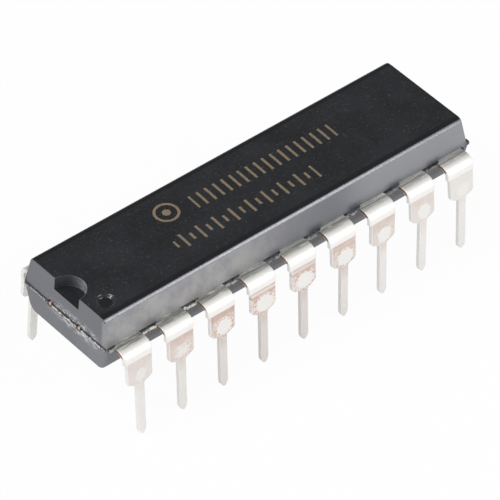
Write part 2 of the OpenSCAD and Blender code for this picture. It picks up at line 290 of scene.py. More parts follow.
def marking(add, place, fine):
    """Where the marking laser has browned the top: a plain ring with a dot, and two rows of ticks.

    The pattern is turned a little, as the package lay in the marking jig, and the fine noise frays its
    strokes. In the second row every other tick is short.
    """
    frayed = add("ShaderNodeVectorMath", [fine.outputs["Color"], (0.06, 0.06, 0.0), place],
                 operation="MULTIPLY_ADD")
    jig = add("ShaderNodeMapping", {"Vector": frayed, "Rotation": (0, 0, JIG_TURN), "Scale": (1, 1, 0)})
    x, y, _ = add("ShaderNodeSeparateXYZ", [jig]).outputs
    saw = add("ShaderNodeMath", [x, TICK_HALF_PITCH], operation="PINGPONG")
    tick = add("ShaderNodeMath", [saw, TICK_HALF_PITCH, STROKE_HALF], operation="COMPARE")
    shifted = add("ShaderNodeMath", [x, TICK_HALF_PITCH], operation="ADD")
    slow = add("ShaderNodeMath", [shifted, 2*TICK_HALF_PITCH], operation="PINGPONG")
    tall = add("ShaderNodeMath", [slow, 2*TICK_HALF_PITCH, 0.15], operation="COMPARE")
    reach = add("ShaderNodeMath", [tall, LONG_TICK_HALF - SHORT_TICK_HALF, SHORT_TICK_HALF],
                operation="MULTIPLY_ADD")
    marks = []
    for level, half, start, end in ((0.83, LONG_TICK_HALF, -2.8, 5.8), (-1.02, reach, -5.3, 3.3)):
        in_row = add("ShaderNodeMath", [y, level, half], operation="COMPARE")
        in_run = add("ShaderNodeMath", [x, (start + end)/2, (end - start)/2], operation="COMPARE")
        both = add("ShaderNodeMath", [in_row, in_run], operation="MULTIPLY")
        marks.append(add("ShaderNodeMath", [both, tick], operation="MULTIPLY"))
    radius = add("ShaderNodeVectorMath", [jig, RING_CENTRE], operation="DISTANCE")
    marks.append(add("ShaderNodeMath", [radius, RING_R, STROKE_HALF], operation="COMPARE"))
    marks.append(add("ShaderNodeMath", [radius, 0.0, DOT_R], operation="COMPARE"))
    total = marks[0]
    for mark in marks[1:]:
        total = add("ShaderNodeMath", [total, mark], operation="MAXIMUM")
    return total


print("ticks are", 2*STROKE_HALF, "mm wide and repeat every", 2*TICK_HALF_PITCH, "mm")

# %% [markdown]
# ### Wear of the walls, with painted sheen and painted shade
#
# Handling has rubbed the near wall at the notch end to a warm haze, and a greyer film lies at its far end;
# both are partly painted sheen.
# The end faces are scuffed along the parting line. A crooked black line of painted shadow runs along it, and
# a dark spot of painted shade stands for the small pit that the shears left beside each tie. All of this lies
# within the surface, so each is a mask in the wall's material, made of smooth steps along x, y or z that are
# multiplied with each other: a Map Range node whose upper value is the last mask does that.

# %% Haze and painted sheen on the near wall
WARM_HAZE_AND_SHEEN_ENDS, FAR_FILM_AND_SHEEN_BEGINS = 1.9, 2.6


def haze_and_painted_sheen(add, place, tone):
    """Haze and painted sheen on the upper near wall: warm at the notch end, none past the middle, grey
    beyond.
    """
    x, y, z = add("ShaderNodeSeparateXYZ", [place]).outputs
    cloud = add("ShaderNodeTexNoise", {"Vector": place, "Scale": 1/1.1, "Detail": 4.0, "Roughness": 0.65})
    mottle = add("ShaderNodeMapRange", [cloud, 0.3, 0.65, 0.45, 0.95], **SMOOTH)
    near_end = add("ShaderNodeMapRange", [x, WARM_HAZE_AND_SHEEN_ENDS, -4.5, 0.0, mottle], **SMOOTH)
    far_end = add("ShaderNodeMapRange", [x, FAR_FILM_AND_SHEEN_BEGINS, 5.6, 0.0, 0.50], **SMOOTH)
    hue = add("ShaderNodeMix", [cloud, linear("#84868b"), linear("#8f887c")], **COLOUR)
    # Both layers lighten the wall: partly a rubbed haze, partly painted sheen where the wall catches more
    # light.
    for share, rise, colour in ((near_end, 0.1, hue), (far_end, 0.5, linear("#868687"))):
        on_wall = add("ShaderNodeMapRange", [y, -2.6, -2.85, 0.0, share], **SMOOTH)
        above = add("ShaderNodeMapRange", [z, PARTING_Z, PARTING_Z + rise, 0.0, on_wall], **SMOOTH)
        tone = add("ShaderNodeMix", [above, tone, colour], **COLOUR)
    return tone


print("no haze between", WARM_HAZE_AND_SHEEN_ENDS, "and", FAR_FILM_AND_SHEEN_BEGINS, "mm past the middle")


# %% Scuffs, dust, and painted shadow and shade on the ends
SCUFF_COLOUR = "#c3c7cc"
SCUFF_SHARE, DUST_SHARE = 0.85, 0.06
SHADED_PITS = ((1.22, 5.10), (-0.98, 5.17))


def end_dust(add, y, z, at_end, smear, tone):
    """Whitish scuffs round the parting line, dragged sideways, and thin dust below it on the near side.

    Each layer starts from where its noise or the end face is, and is multiplied by smooth steps in y and z.
    """
    scuffs = add("ShaderNodeMapRange", [smear, 0.45, 0.60, 0.0, at_end], **SMOOTH)
    scuff_steps = ((z, 4.6, 5.10), (z, PARTING_Z + 0.55, PARTING_Z + 0.10), (y, 2.0, -0.3), (y, -2.9, -1.9))
    dust_steps = ((y, 0.0, -2.6), (z, PARTING_Z, PARTING_Z - 0.3))
    for share, steps, most in ((scuffs, scuff_steps, SCUFF_SHARE), (at_end, dust_steps, DUST_SHARE)):
        for value, start, full in steps:
            share = add("ShaderNodeMapRange", [value, start, full, 0.0, share], **SMOOTH)
        share = add("ShaderNodeMath", [share, most], operation="MULTIPLY")
        tone = add("ShaderNodeMix", [share, tone, linear(SCUFF_COLOUR)], **COLOUR)
    return tone


def end_wear(add, place, tone, fine):
    """End faces: scuffs and dust, a crooked line of painted shadow at the parting line, and painted shade for
    a pit by each tie end.
    """
    x, y, z = add("ShaderNodeSeparateXYZ", [place]).outputs
    end = add("ShaderNodeMath", [x], operation="ABSOLUTE")
    at_end = add("ShaderNodeMapRange", [end, END_X - 0.225, END_X - 0.175], **SMOOTH)
    drag = add("ShaderNodeMapping", {"Vector": place, "Scale": (1.0, 0.35, 1.0)})
    smear = add("ShaderNodeTexNoise", {"Vector": drag, "Scale": 1/0.14, "Detail": 4.0, "Roughness": 0.75})
    tone = end_dust(add, y, z, at_end, smear, tone)
    # Painted shadow: a crooked black line just over the parting plane, where the gap above the fin is.
    crooked = add("ShaderNodeMath", [fine, 0.14, z], operation="MULTIPLY_ADD")
    line = add("ShaderNodeMath", [crooked, PARTING_Z + 0.08, 0.05], operation="COMPARE")
    dark = add("ShaderNodeMath", [line, at_end], operation="MULTIPLY")
    flat = add("ShaderNodeMapping", {"Vector": place, "Scale": (0, 1, 1)})
    at_notch_end = add("ShaderNodeMapRange", [x, -11.2, -11.3], **SMOOTH)
    # Painted shade: each pit is a dark spot in the colour, with no hollow in the mesh.
    for pit_y, pit_z in SHADED_PITS:
        away = add("ShaderNodeVectorMath", [flat, (0, pit_y, pit_z)], operation="DISTANCE")
        pit = add("ShaderNodeMapRange", [away, 0.10, 0.05, 0.0, at_notch_end], **SMOOTH)
        dark = add("ShaderNodeMath", [dark, pit], operation="MAXIMUM")
    # 0c0c0d is the painted shadow of the line and the painted shade of the pits.
    return add("ShaderNodeMix", [dark, tone, linear("#0c0c0d")], **COLOUR)


print("pits at the notch end:", len(SHADED_PITS))


# %% Gloss of the walls
LOWER_WALL_IOR, GAP_SHADE_IOR = 1.85, 1.6


def wall_gloss(add, place, fine, ior):
    """Index of the film on the walls: `ior`, but lower under the leads, and lowest over the ledges of flash.

    The leads repeat at the pitch, so a mirrored saw of x finds the ledges; the lowest index there paints
    shade on the wall.
    """
    x, y, z = add("ShaderNodeSeparateXYZ", [place]).outputs
    on_side = add("ShaderNodeMath", [y], operation="ABSOLUTE")
    on_side = add("ShaderNodeMapRange", [on_side, 2.9, 3.0], **SMOOTH)
    under = add("ShaderNodeMapRange", [z, PARTING_Z, PARTING_Z - 0.1, 0.0, on_side], **SMOOTH)
    under = add("ShaderNodeMapRange", [x, -10.0, -8.5, 0.0, under], **SMOOTH)
    film = add("ShaderNodeMapRange", [under, 0.0, 1.0, ior, LOWER_WALL_IOR])
    shifted = add("ShaderNodeMath", [x, 0.22], operation="SUBTRACT")
    saw = add("ShaderNodeMath", [shifted, PITCH/2], operation="PINGPONG")
    gap = add("ShaderNodeMapRange", [saw, 0.60, 1.12, 0.0, on_side], **SMOOTH)
    frayed = add("ShaderNodeMath", [fine, 0.35, z], operation="MULTIPLY_ADD")
    gap = add("ShaderNodeMapRange", [frayed, PARTING_Z + 0.76, PARTING_Z + 0.30, 0.0, gap], **SMOOTH)
    gap = add("ShaderNodeMapRange", [z, PARTING_Z, PARTING_Z + 0.05, 0.0, gap], **SMOOTH)
    # Painted shade: the lowest index darkens the wall over each ledge between two leads.
    return add("ShaderNodeMapRange", [gap, 0.0, 1.0, film, GAP_SHADE_IOR])


print("index of the film under the leads", LOWER_WALL_IOR, "and over the ledges", GAP_SHADE_IOR)


# %% Browned strokes and painted light in the notch
BURNT_BROWN, NOTCH_LIGHT_GREY = "#8a7963", "#8a8e95"


def browned(add, place, tone, fine):
    """The laser's strokes, in brown, deeper in some places than in others."""
    burnt = add("ShaderNodeTexNoise", {"Vector": place, "Scale": 1/0.08, "Detail": 2.0, "Roughness": 0.7})
    depth = add("ShaderNodeMapRange", [burnt, 0.25, 0.6, 0.55, 1.0], **SMOOTH)
    share = add("ShaderNodeMath", [marking(add, place, fine), depth], operation="MULTIPLY")
    return add("ShaderNodeMix", [share, tone, linear(BURNT_BROWN)], **COLOUR)


def painted_notch_light(add, place, tone):
    """Painted light: spotty lighter grey on the near half of the notch, full where y < -0.25, none over 0.70.
    """
    y = add("ShaderNodeSeparateXYZ", [place]).outputs["Y"]
    spots = add("ShaderNodeTexNoise", {"Vector": place, "Scale": 1/0.16, "Detail": 4.0, "Roughness": 0.7})
    spots = add("ShaderNodeMapRange", [spots, 0.35, 0.60, 0.45, 1.0], **SMOOTH)
    film = add("ShaderNodeMapRange", [y, 0.70, -0.25, 0.0, spots], **SMOOTH)
    return add("ShaderNodeMix", [film, tone, linear(NOTCH_LIGHT_GREY)], **COLOUR)


# The grey printed as dust is painted light in the notch.
print("the strokes are", BURNT_BROWN, "and the dust is", NOTCH_LIGHT_GREY)


# %% Finishes of the compound
def compound(name, tones, rough, ior, bump, layer=""):
    """Black epoxy compound with its grain, under a `layer` of laser marks, of wear with painted sheen and
    shade, or of painted light.
    """
    material, add, place = new_material(name)
    tone, fine = compound_tone(add, place, *tones)
    if layer == "marks":
        tone = browned(add, place, tone, fine)
    if layer == "wear":
        # The wear layer also carries painted sheen, painted shadow and painted shade.
        tone = end_wear(add, place, haze_and_painted_sheen(add, place, tone), fine)
        ior = wall_gloss(add, place, fine, ior)
    # The dust layer is painted light on the near half of the notch.
    if layer == "dust":
        tone = painted_notch_light(add, place, tone)
    gloss = add("ShaderNodeMapRange", [fine, 0.3, 0.7, rough - 0.05, rough + 0.07], **SMOOTH)
    relief = add("ShaderNodeBump", {"Height": fine, "Strength": bump, "Distance": 0.004*MM})
    # Specular Tint #f5f7ff paints a faint cool cast into every reflection of the compound.
    shader = add("ShaderNodeBsdfPrincipled", {"Base Color": tone, "Roughness": gloss, "IOR": ior,
                                              "Specular Tint": linear("#f5f7ff"), "Normal": relief})
    add("ShaderNodeOutputMaterial", [shader])
    return material


TOP, WALL, ROUND, INSERT, PIN_FLOOR, PIN_SLOPE, RIM = range(7)
COMPOUND = [
    compound("epoxy_compound_eroded_top", ("#141518", "#28292c", "#8a8b8e"), 0.50, 1.5, 0.5, "marks"),
    compound("epoxy_compound_drawn_wall", ("#2a2b30", "#393a3e", "#5c5c5e"), 0.42, 2.45, 0.3, "wear"),
    compound("epoxy_compound_polished_edge", ("#0e0f10", "#17181a", "#3c3d3f"), 0.36, 2.55, 0.2),
    # The insert print carries painted light on its near half.
    compound("epoxy_compound_insert_print", ("#2a2b2e", "#3a3c40", "#8a8b8c"), 0.45, 1.5, 0.6, "dust"),
    compound("epoxy_compound_pin_floor", ("#050506", "#0a0a0b", "#2c2d2f"), 0.30, 1.60, 0.03),
    compound("epoxy_compound_pin_slope", ("#050506", "#0a0a0b", "#2c2d2f"), 0.17, 2.20, 0.03),
    # The rim's darker colours are a painted dark reflection.
    compound("epoxy_compound_rim_with_painted_dark_reflection", ("#0c0c0e", "#141517", "#333436"), 0.40, 1.50, 0.2),
]
print("finishes of the compound:", [material.name for material in COMPOUND])

# %% [markdown]
# ## Resin flash
#
# Where the mould closes on the strip, a little resin escapes: a ledge between the leads, up to where the
# dam bar stopped it, and a thin fin along the parting line of each end. It breaks off unevenly when the
# dam bar is punched away. The skin is dark and glossy, and the broken rim is pale, because it is full of
# fine cracks. Noise alone could not know where the rim is, so the mesh carries two values for the pattern:
# how near a point is to the rim, and how pale its strip is.
#
# The crumbs are about 0.03 mm across. They are drawn at 0.13 mm, or they would not show.

# %% Broken resin
def flash_material():
    """Resin skin in dark and blue-grey, with buff and white crumbs where the broken rim is.

    The wear is 2.2*noise + nearness to the rim: buff over 1.75, white over 2.05.
    """
    material, add, place = new_material("epoxy_flash_broken_rim")
    rim = add("ShaderNodeAttribute", attribute_name="rim").outputs["Fac"]
    pale = add("ShaderNodeAttribute", attribute_name="pale").outputs["Fac"]
    ragged = add("ShaderNodeTexNoise", {"Vector": place, "Scale": 1/0.13, "Detail": 4.0, "Roughness": 0.75})
    crumbs = add("ShaderNodeTexNoise", {"Vector": place, "Scale": 1/0.28, "Detail": 3.0, "Roughness": 0.8})
    blue = add("ShaderNodeMapRange", [crumbs, 0.42, 0.62], **SMOOTH)
    tone = add("ShaderNodeMix", [blue, linear("#232528"), linear("#4b525c")], **COLOUR)
    wear = add("ShaderNodeMath", [ragged, 2.2, rim], operation="MULTIPLY_ADD")
    pale = add("ShaderNodeMapRange", [crumbs, 0.56, 0.50, 0.0, pale], **SMOOTH)
    buff = add("ShaderNodeMapRange", [wear, 1.45, 1.75, 0.0, pale], **SMOOTH)
    tone = add("ShaderNodeMix", [buff, tone, linear("#8f897c")], **COLOUR)
    white = add("ShaderNodeMapRange", [wear, 1.75, 2.05, 0.0, pale], **SMOOTH)
    tone = add("ShaderNodeMix", [white, tone, linear("#d9d6cf")], **COLOUR)
    gloss = add("ShaderNodeMapRange", [wear, 1.4, 1.9, 0.38, 0.65], **SMOOTH)
    relief = add("ShaderNodeBump", {"Height": ragged, "Strength": 0.8, "Distance": 0.02*MM})
    shader = add("ShaderNodeBsdfPrincipled",
                 {"Base Color": tone, "Roughness": gloss, "IOR": 1.55, "Normal": relief})
    add("ShaderNodeOutputMaterial", [shader])
    return material


BROKEN_RESIN = flash_material()
print("made", BROKEN_RESIN.name)

# %% [markdown]
# ## Tinned copper leads
#
# The leads are stamped from copper alloy strip and plated with matt tin. Fresh tin is pale and evenly
# bright. Below the line where the dam bar ran, the plating of these leads is thin and rubbed: the copper
# warms it to a pinkish beige, a whitish patch of thicker tin lies in the middle, and bare copper speckles
# the sides of that patch. The sheared stubs show a copper core between two tin skins, because the dam bar
# was punched off after plating. Eighteen materials could paint eighteen leads, but they would all be the
# same plating. So there is one material, and each mesh carries what the patterns need: where a point is on
# the strip, and how rubbed that lead is.
#
# Matt tin is a metal, but a layer of dull crystals scatters much of the light, so it is set as half metal.
# The crystals are under 0.01 mm. Their grain is drawn at 0.09 mm, or it would not show.

# %% Tin on the shoulder and the leg
DAM_LINE_Z = 4.84


def tin_base(add, height, outer, fine):
    """Matt tin in two greys, a little darker on the outer face below the dam line, with a soft grain."""
    inner = add("ShaderNodeMapRange", [outer, 0.9, 0.3], **SMOOTH)
    thick = add("ShaderNodeMapRange", [height, DAM_LINE_Z - 0.03, DAM_LINE_Z + 0.03, inner, 1.0], **SMOOTH)
    tin = add("ShaderNodeMix", [thick, linear("#e6e4e1"), linear("#efedea")], **COLOUR)
    grainy = add("ShaderNodeMapRange", [fine, 0.35, 0.8, 0.0, 0.35], **SMOOTH)
    return add("ShaderNodeMix", [grainy, tin, linear("#d8d5d2")], **COLOUR)


SHOULDER_GREY_FADES, SHOULDER_GREY_ENDS = 3.56, 3.76


def drag_lines_and_painted_reflection(add, place, along, drag, tin):
    """Grey lines on the shoulder: drag marks of the bending tool and a painted reflection of the dark wall.
    Before the bend lies a crease of painted shade.

    The lines start at the wall and fade out where the bend begins. They are heaviest on the near row at
    the notch end. The crease lies where 0.3*noise + the place along the strip is 3.54 to 3.58 mm.
    """
    x, y, _ = add("ShaderNodeSeparateXYZ", [place]).outputs
    # The grey is a painted reflection of the dark wall, heaviest on the near row at the notch end.
    heavy = add("ShaderNodeMapRange", [x, -7.0, 4.0, 0.98, 0.68])
    heavy = add("ShaderNodeMapRange", [y, 1.0, -1.0, 0.35, heavy])
    shoulder = add("ShaderNodeMapRange", [along, SHOULDER_GREY_ENDS, SHOULDER_GREY_FADES, 0.0, heavy], **SMOOTH)
    lines = add("ShaderNodeMapRange", [drag, 0.26, 0.60, 0.0, shoulder], **SMOOTH)
    tin = add("ShaderNodeMix", [lines, tin, linear("#8b8d86")], **COLOUR)
    # The crease's darker tone is painted shade.
    fold = add("ShaderNodeMath", [drag, 0.30, along], operation="MULTIPLY_ADD")
    rise = add("ShaderNodeMapRange", [fold, 3.48, 3.54, 0.0, 0.6], **SMOOTH)
    crease = add("ShaderNodeMapRange", [fold, 3.66, 3.58, 0.0, rise], **SMOOTH)
    return add("ShaderNodeMix", [crease, tin, linear("#6e7068")], **COLOUR)


print("the dam bar's line lies", DAM_LINE_Z, "mm up, and the drag lines end", SHOULDER_GREY_ENDS, "mm along the strip")


# %% [markdown]
# ### The rubbed band and the patch
#
# The leads are rubbed in a band below the dam line, and a patch of thicker tin is left in its middle. The
# band follows the height, so it is a product of steps along the height, as on the walls. The patch differs
# from lead to lead, so its centre and radii come from the mesh, and only its ragged rim comes from a noise.

# %% The rubbed band
def rubbed_band(add, height, outer, broad, fine):
    """How far the thin plating shows copper: most just below the dam line, then fading down to the pin."""
    rubbed = add("ShaderNodeAttribute", attribute_name="rubbed").outputs["Fac"]
    share = add("ShaderNodeMapRange", [broad, 0.25, 0.75, 0.65, 1.0], **SMOOTH)
    share = add("ShaderNodeMath", [share, rubbed], operation="MULTIPLY")
    faded = add("ShaderNodeMath", [share, 0.62], operation="MULTIPLY")
    share = add("ShaderNodeMapRange", [height, 3.9, DAM_LINE_Z - 0.1, faded, share], **SMOOTH)
    wavy = add("ShaderNodeMath", [fine, 0.06, height], operation="MULTIPLY_ADD")
    share = add("ShaderNodeMapRange", [wavy, DAM_LINE_Z + 0.05, DAM_LINE_Z + 0.01, 0.0, share], **SMOOTH)
    share = add("ShaderNodeMapRange", [height, 2.2, 3.4, 0.0, share], **SMOOTH)
    return add("ShaderNodeMapRange", [outer, 0.3, 0.9, 0.0, share], **SMOOTH)


SECOND_LINES = ((4.42, 4.56, "#c9a898"), (4.58, 4.74, "#e6dfda"))


def second_line(add, height, tone):
    """On some leads the dam bar left a pale strip and a second rubbed line below it."""
    line = add("ShaderNodeAttribute", attribute_name="second_line").outputs["Fac"]
    for low, high, colour in SECOND_LINES:
        share = add("ShaderNodeMapRange", [height, low - 0.04, low + 0.04, 0.0, line], **SMOOTH)
        share = add("ShaderNodeMapRange", [height, high + 0.04, high - 0.04, 0.0, share], **SMOOTH)
        tone = add("ShaderNodeMix", [share, tone, linear(colour)], **COLOUR)
    return tone


print("lines below the dam line:", len(SECOND_LINES))


# %% The patch of thick tin
FLAKES = (0.52, 0.46, 0.7, "#efe7e2")
COPPER_SPECKS = (0.53, 0.60, 0.85, "#bd8569")


def tin_patch(add, height, ragged, tone):
    """A round patch with a ragged rim; pale flakes and bare copper specks lie left and right of it.

    The mesh gives (u, v), the place from the patch's centre in patch radii. The reach is
    u^2 + v^2 + wobble*noise, and the patch lies where it is under 1. Flakes and specks each have the noise
    at which they begin and are full, their share, and their colour.
    """
    names = ("patch_u", "patch_v", "patch", "wobble", "specks")
    u, v, patch, wobble, specks = [
        add("ShaderNodeAttribute", attribute_name=name).outputs["Fac"] for name in names]
    centred = add("ShaderNodeMath", [ragged, 0.5], operation="SUBTRACT")
    reach = add("ShaderNodeMath", [centred, wobble], operation="MULTIPLY")
    reach = add("ShaderNodeMath", [u, u, reach], operation="MULTIPLY_ADD")
    reach = add("ShaderNodeMath", [v, v, reach], operation="MULTIPLY_ADD")
    near = add("ShaderNodeMapRange", [reach, 3.6, 1.6, 0.0, specks], **SMOOTH)
    near = add("ShaderNodeMapRange", [height, 4.65, 4.35, 0.0, near], **SMOOTH)
    for low, high, share, colour in (FLAKES, COPPER_SPECKS):
        spots = add("ShaderNodeMapRange", [ragged, low, high, 0.0, near], **SMOOTH)
        spots = add("ShaderNodeMath", [spots, share], operation="MULTIPLY")
        tone = add("ShaderNodeMix", [spots, tone, linear(colour)], **COLOUR)
    inside = add("ShaderNodeMapRange", [reach, 1.08, 0.90, 0.0, patch], **SMOOTH)
    return add("ShaderNodeMix", [inside, tone, linear("#e9e7e4")], **COLOUR)


print("flakes are", FLAKES[-1], "and specks of copper", COPPER_SPECKS[-1])


# %% Tinned copper
def tinned_material():
    """Matt tin over copper, with its rubbed band, patch, tarnish on the pin and sheared copper core.

    The noise of the drag lines is stretched eightfold along the body. The core is bare where
    0.6*noise + cut is over 0.74, so its edges are torn.
    """
    material, add, place = new_material("matt_tin_plated_copper")
    names = ("height", "along", "outer", "tarnish", "cut")
    height, along, outer, tarnish, cut = [
        add("ShaderNodeAttribute", attribute_name=name).outputs["Fac"] for name in names]
    fine = add("ShaderNodeTexNoise", {"Vector": place, "Scale": 1/0.09, "Detail": 3.0, "Roughness": 0.65})
    broad = add("ShaderNodeTexNoise", {"Vector": place, "Scale": 1/0.45, "Detail": 3.0, "Roughness": 0.6})
    ragged = add("ShaderNodeTexNoise", {"Vector": place, "Scale": 1/0.11, "Detail": 4.0, "Roughness": 0.8})
    long = add("ShaderNodeMapping", {"Vector": place, "Scale": (0.12, 1.0, 1.0)})
    drag = add("ShaderNodeTexNoise", {"Vector": long, "Scale": 1/0.11, "Detail": 4.0, "Roughness": 0.7})
    band = rubbed_band(add, height, outer, broad, fine)
    tin = drag_lines_and_painted_reflection(add, place, along, drag, tin_base(add, height, outer, fine))
    tone = add("ShaderNodeMix", [band, tin, linear("#bb9480")], **COLOUR)
    tone = tin_patch(add, height, ragged, second_line(add, height, tone))
    dull = add("ShaderNodeMapRange", [height, 3.5, 3.2, 0.0, tarnish], **SMOOTH)
    tone = add("ShaderNodeMix", [dull, tone, linear("#b3a59d")], **COLOUR)
    torn = add("ShaderNodeMath", [ragged, 0.6, cut], operation="MULTIPLY_ADD")
    bare = add("ShaderNodeMapRange", [torn, 0.56, 0.74], **SMOOTH)
    tone = add("ShaderNodeMix", [bare, tone, linear("#80503e")], **COLOUR)
    gloss = add("ShaderNodeMapRange", [fine, 0.3, 0.75, 0.52, 0.62], **SMOOTH)
    dents = add("ShaderNodeMath", [broad, 0.8, fine], operation="MULTIPLY_ADD")
    dents = add("ShaderNodeMath", [drag, 0.8, dents], operation="MULTIPLY_ADD")
    relief = add("ShaderNodeBump", {"Height": dents, "Strength": 0.5, "Distance": 0.008*MM})
    shader = add("ShaderNodeBsdfPrincipled",
                 {"Base Color": tone, "Metallic": 0.45, "Roughness": gloss, "Normal": relief})
    add("ShaderNodeOutputMaterial", [shader])
    return material


TINNED = tinned_material()
print("made", TINNED.name)

# %% [markdown]
# ## The metals and the chip inside
#
# The pad, the glue, the chip and the wires are cast in. Only the sheared ends of the pad's ties show, two at
# each end face. These pieces could be modelled again, but their CAD solids are already exact, so they stay,
# and each gets the finish of what it is: rolled copper, silver-filled glue, polished silicon and drawn gold
# wire. Most of each tie end is painted dark as shade, and one spot of bare copper is left on it.

# %% Metals and glue
def metal_material(name, base, other, size, metallic, rough):
    """A metal or filled glue: two tones mixed by a noise of `size` mm, roughness from the same noise."""
    material, add, place = new_material(name)
    cloud = add("ShaderNodeTexNoise", {"Vector": place, "Scale": 1/size, "Detail": 4.0, "Roughness": 0.65})
    share = add("ShaderNodeMapRange", [cloud, 0.38, 0.62], **SMOOTH)
    tone = add("ShaderNodeMix", [share, linear(base), linear(other)], **COLOUR)
    gloss = add("ShaderNodeMapRange", [cloud, 0.3, 0.7, rough, rough + 0.15], **SMOOTH)
    relief = add("ShaderNodeBump", {"Height": cloud, "Strength": 0.3, "Distance": 0.01*MM})
    shader = add("ShaderNodeBsdfPrincipled",
                 {"Base Color": tone, "Metallic": metallic, "Roughness": gloss, "Normal": relief})
    add("ShaderNodeOutputMaterial", [shader])
    return material


GLUE = metal_material("silver_filled_epoxy", "#8d8f92", "#b4b6b9", 0.06, 0.3, 0.5)
SILICON = metal_material("polished_silicon", "#4c5460", "#626c79", 0.5, 0.5, 0.15)
GOLD = metal_material("drawn_gold_wire", "#d9ab46", "#f0cb72", 0.08, 1.0, 0.2)
print("made", [material.name for material in (GLUE, SILICON, GOLD)])

# %% Sheared tie ends
UNSHADED_SPOTS = ((1.08, 5.49), (-1.12, 5.49))


def tie_material():
    """Rolled copper, painted dark as shade over most of each tie end, with a spot of bare pink copper on
    each.
    """
    material, add, place = new_material("rolled_copper_sheared")
    grain = add("ShaderNodeTexNoise", {"Vector": place, "Scale": 1/0.08, "Detail": 3.0, "Roughness": 0.7})
    copper = add("ShaderNodeMix", [grain, linear("#b98d7c"), linear("#f6d9ca")], **COLOUR)
    frayed = add("ShaderNodeVectorMath", [grain.outputs["Color"], (0.0, 0.08, 0.08), place],
                 operation="MULTIPLY_ADD")
    flat = add("ShaderNodeMapping", {"Vector": frayed, "Scale": (0, 1, 1)})
    unshaded = 0.0
    for y, z in UNSHADED_SPOTS:
        away = add("ShaderNodeVectorMath", [flat, (0, y, z)], operation="DISTANCE")
        spot = add("ShaderNodeMapRange", [away, 0.11, 0.06], **SMOOTH)
        unshaded = add("ShaderNodeMath", [spot, unshaded], operation="MAXIMUM")
    # Outside the spots the tie end is #2b2524: painted shade.
    tone = add("ShaderNodeMix", [unshaded, linear("#2b2524"), copper], **COLOUR)
    relief = add("ShaderNodeBump", {"Height": grain, "Strength": 0.4, "Distance": 0.01*MM})
    shader = add("ShaderNodeBsdfPrincipled",
                 {"Base Color": tone, "Metallic": 0.2, "Roughness": 0.6, "Normal": relief})
    add("ShaderNodeOutputMaterial", [shader])
    return material


TIE_COPPER = tie_material()
print("clean spots on the tie ends:", len(UNSHADED_SPOTS))

# %% Finishes of the solids inside
INNER = {"die_pad": TIE_COPPER, "die_attach": GLUE, "die": SILICON}
INNER |= {name: GOLD for name in NODES if name.startswith("bond_wire")}
for name, finish in INNER.items():
    slots = NODES[name].data.materials
    slots.clear()
    slots.append(finish)
print("nodes with their own finish:", len(INNER))

# %% [markdown]
# ## The moulded body
#
# A box with a bevel would round all its edges alike, and this moulding has large rounds along its length and
# hardly any at its ends. Seen level by level, though, it is a stack of rectangles. Each level has its own
# half length, which shrinks with the draft of the end faces, and its own half width, which shrinks with the
# draft of the long walls and then runs into the round of the long edge. So one array of levels gives the
# whole skin: a rounded rectangle per level, and a flat cap at the top and the bottom.

# %% Profile of a half
def half_profile(draft, radius, steps=14):
    """Change of the half width, and height over the parting plane, at steps from that plane to the flat.

    The wall draws in by height*tan(draft). The edge's circle touches the flat and the drafted
    wall. With the angle a from 0 on the flat to 90 degrees less the draft on the wall, it lies radius*sin a
    out from where the flat ends, and radius*(1 - cos a) below it.
    """
    a = np.linspace(math.pi/2 - draft, 0, steps)
    flat_end = -HALF_HEIGHT*math.tan(draft) - radius*math.tan((math.pi/2 - draft)/2)
    up = HALF_HEIGHT - radius*(1 - np.cos(a))
    wall_up = np.array([0.0, 0.05, 0.5*up[0], up[0] - 0.05])
    return np.append(-wall_up*math.tan(draft), flat_end + radius*np.sin(a)), np.append(wall_up, up)


def end_inset(up, draft, radius=0.03):
    """Change of the half length at a height: -up*tan(draft), and a small round at the end's sharp edge."""
    depth = np.clip(radius - (HALF_HEIGHT - up), 0, radius)
    return -up*math.tan(draft) - (radius - np.sqrt(radius**2 - depth**2))


FLAT_Y = WALL_Y + half_profile(SIDE_DRAFT, TOP_EDGE_R)[0][-1]
print("half width on top:", round(FLAT_Y, 3), "mm")


# %% Levels of the body
RIM_WIDTH = 0.13


def level_ring(half_x, half_y, corner=0.10, steps=4):
    """Rounded rectangle: four quarter circles of radius `corner`, joined by straight sides."""
    a = np.linspace(0, math.pi/2, steps)
    arc = np.stack([np.cos(a), np.sin(a)], 1)
    turns = [np.array([[c, -s], [s, c]]) for c, s in ((1, 0), (0, 1), (-1, 0), (0, -1))]
    centres = np.array([[1, 1], [-1, 1], [-1, -1], [1, -1]])*[half_x - corner, half_y - corner]
    return np.concatenate([centre + corner*(arc @ turn.T) for turn, centre in zip(turns, centres)])


def body_rings():
    """All levels from the underside to the top, as rings x points x 3, with a narrow rim round each flat."""
    w_low, z_low = half_profile(SIDE_DRAFT, BOTTOM_EDGE_R)
    w_up, z_up = half_profile(SIDE_DRAFT, TOP_EDGE_R)
    x_low, x_up = end_inset(z_low, LOWER_END_DRAFT), end_inset(z_up, UPPER_END_DRAFT)
    half_x = END_X + np.concatenate([x_low[::-1], x_up[1:]])
    half_y = WALL_Y + np.concatenate([w_low[::-1], w_up[1:]])
    up = np.concatenate([-z_low[::-1], z_up[1:]])
    levels = np.column_stack([half_x, half_y, PARTING_Z + up])
    rim = [RIM_WIDTH, RIM_WIDTH, 0]
    levels = np.vstack([levels[:1] - rim, levels, levels[-1:] - rim])
    return np.array([np.insert(level_ring(x, y), 2, z, axis=1) for x, y, z in levels])


body_levels = body_rings()
print("levels of the body:", body_levels.shape[0], "of", body_levels.shape[1], "points")


# %% [markdown]
# ### The notch and the marks
#
# The index notch, the pin 1 mark and the two ejector marks are prints of round inserts and pins in the
# mould. Drawing them into the levels would break their simple grid, so each is cut out afterwards by a
# turned shape, whose profile has the rounded corner and rim that the print has. The exact solver keeps
# those rims crisp.

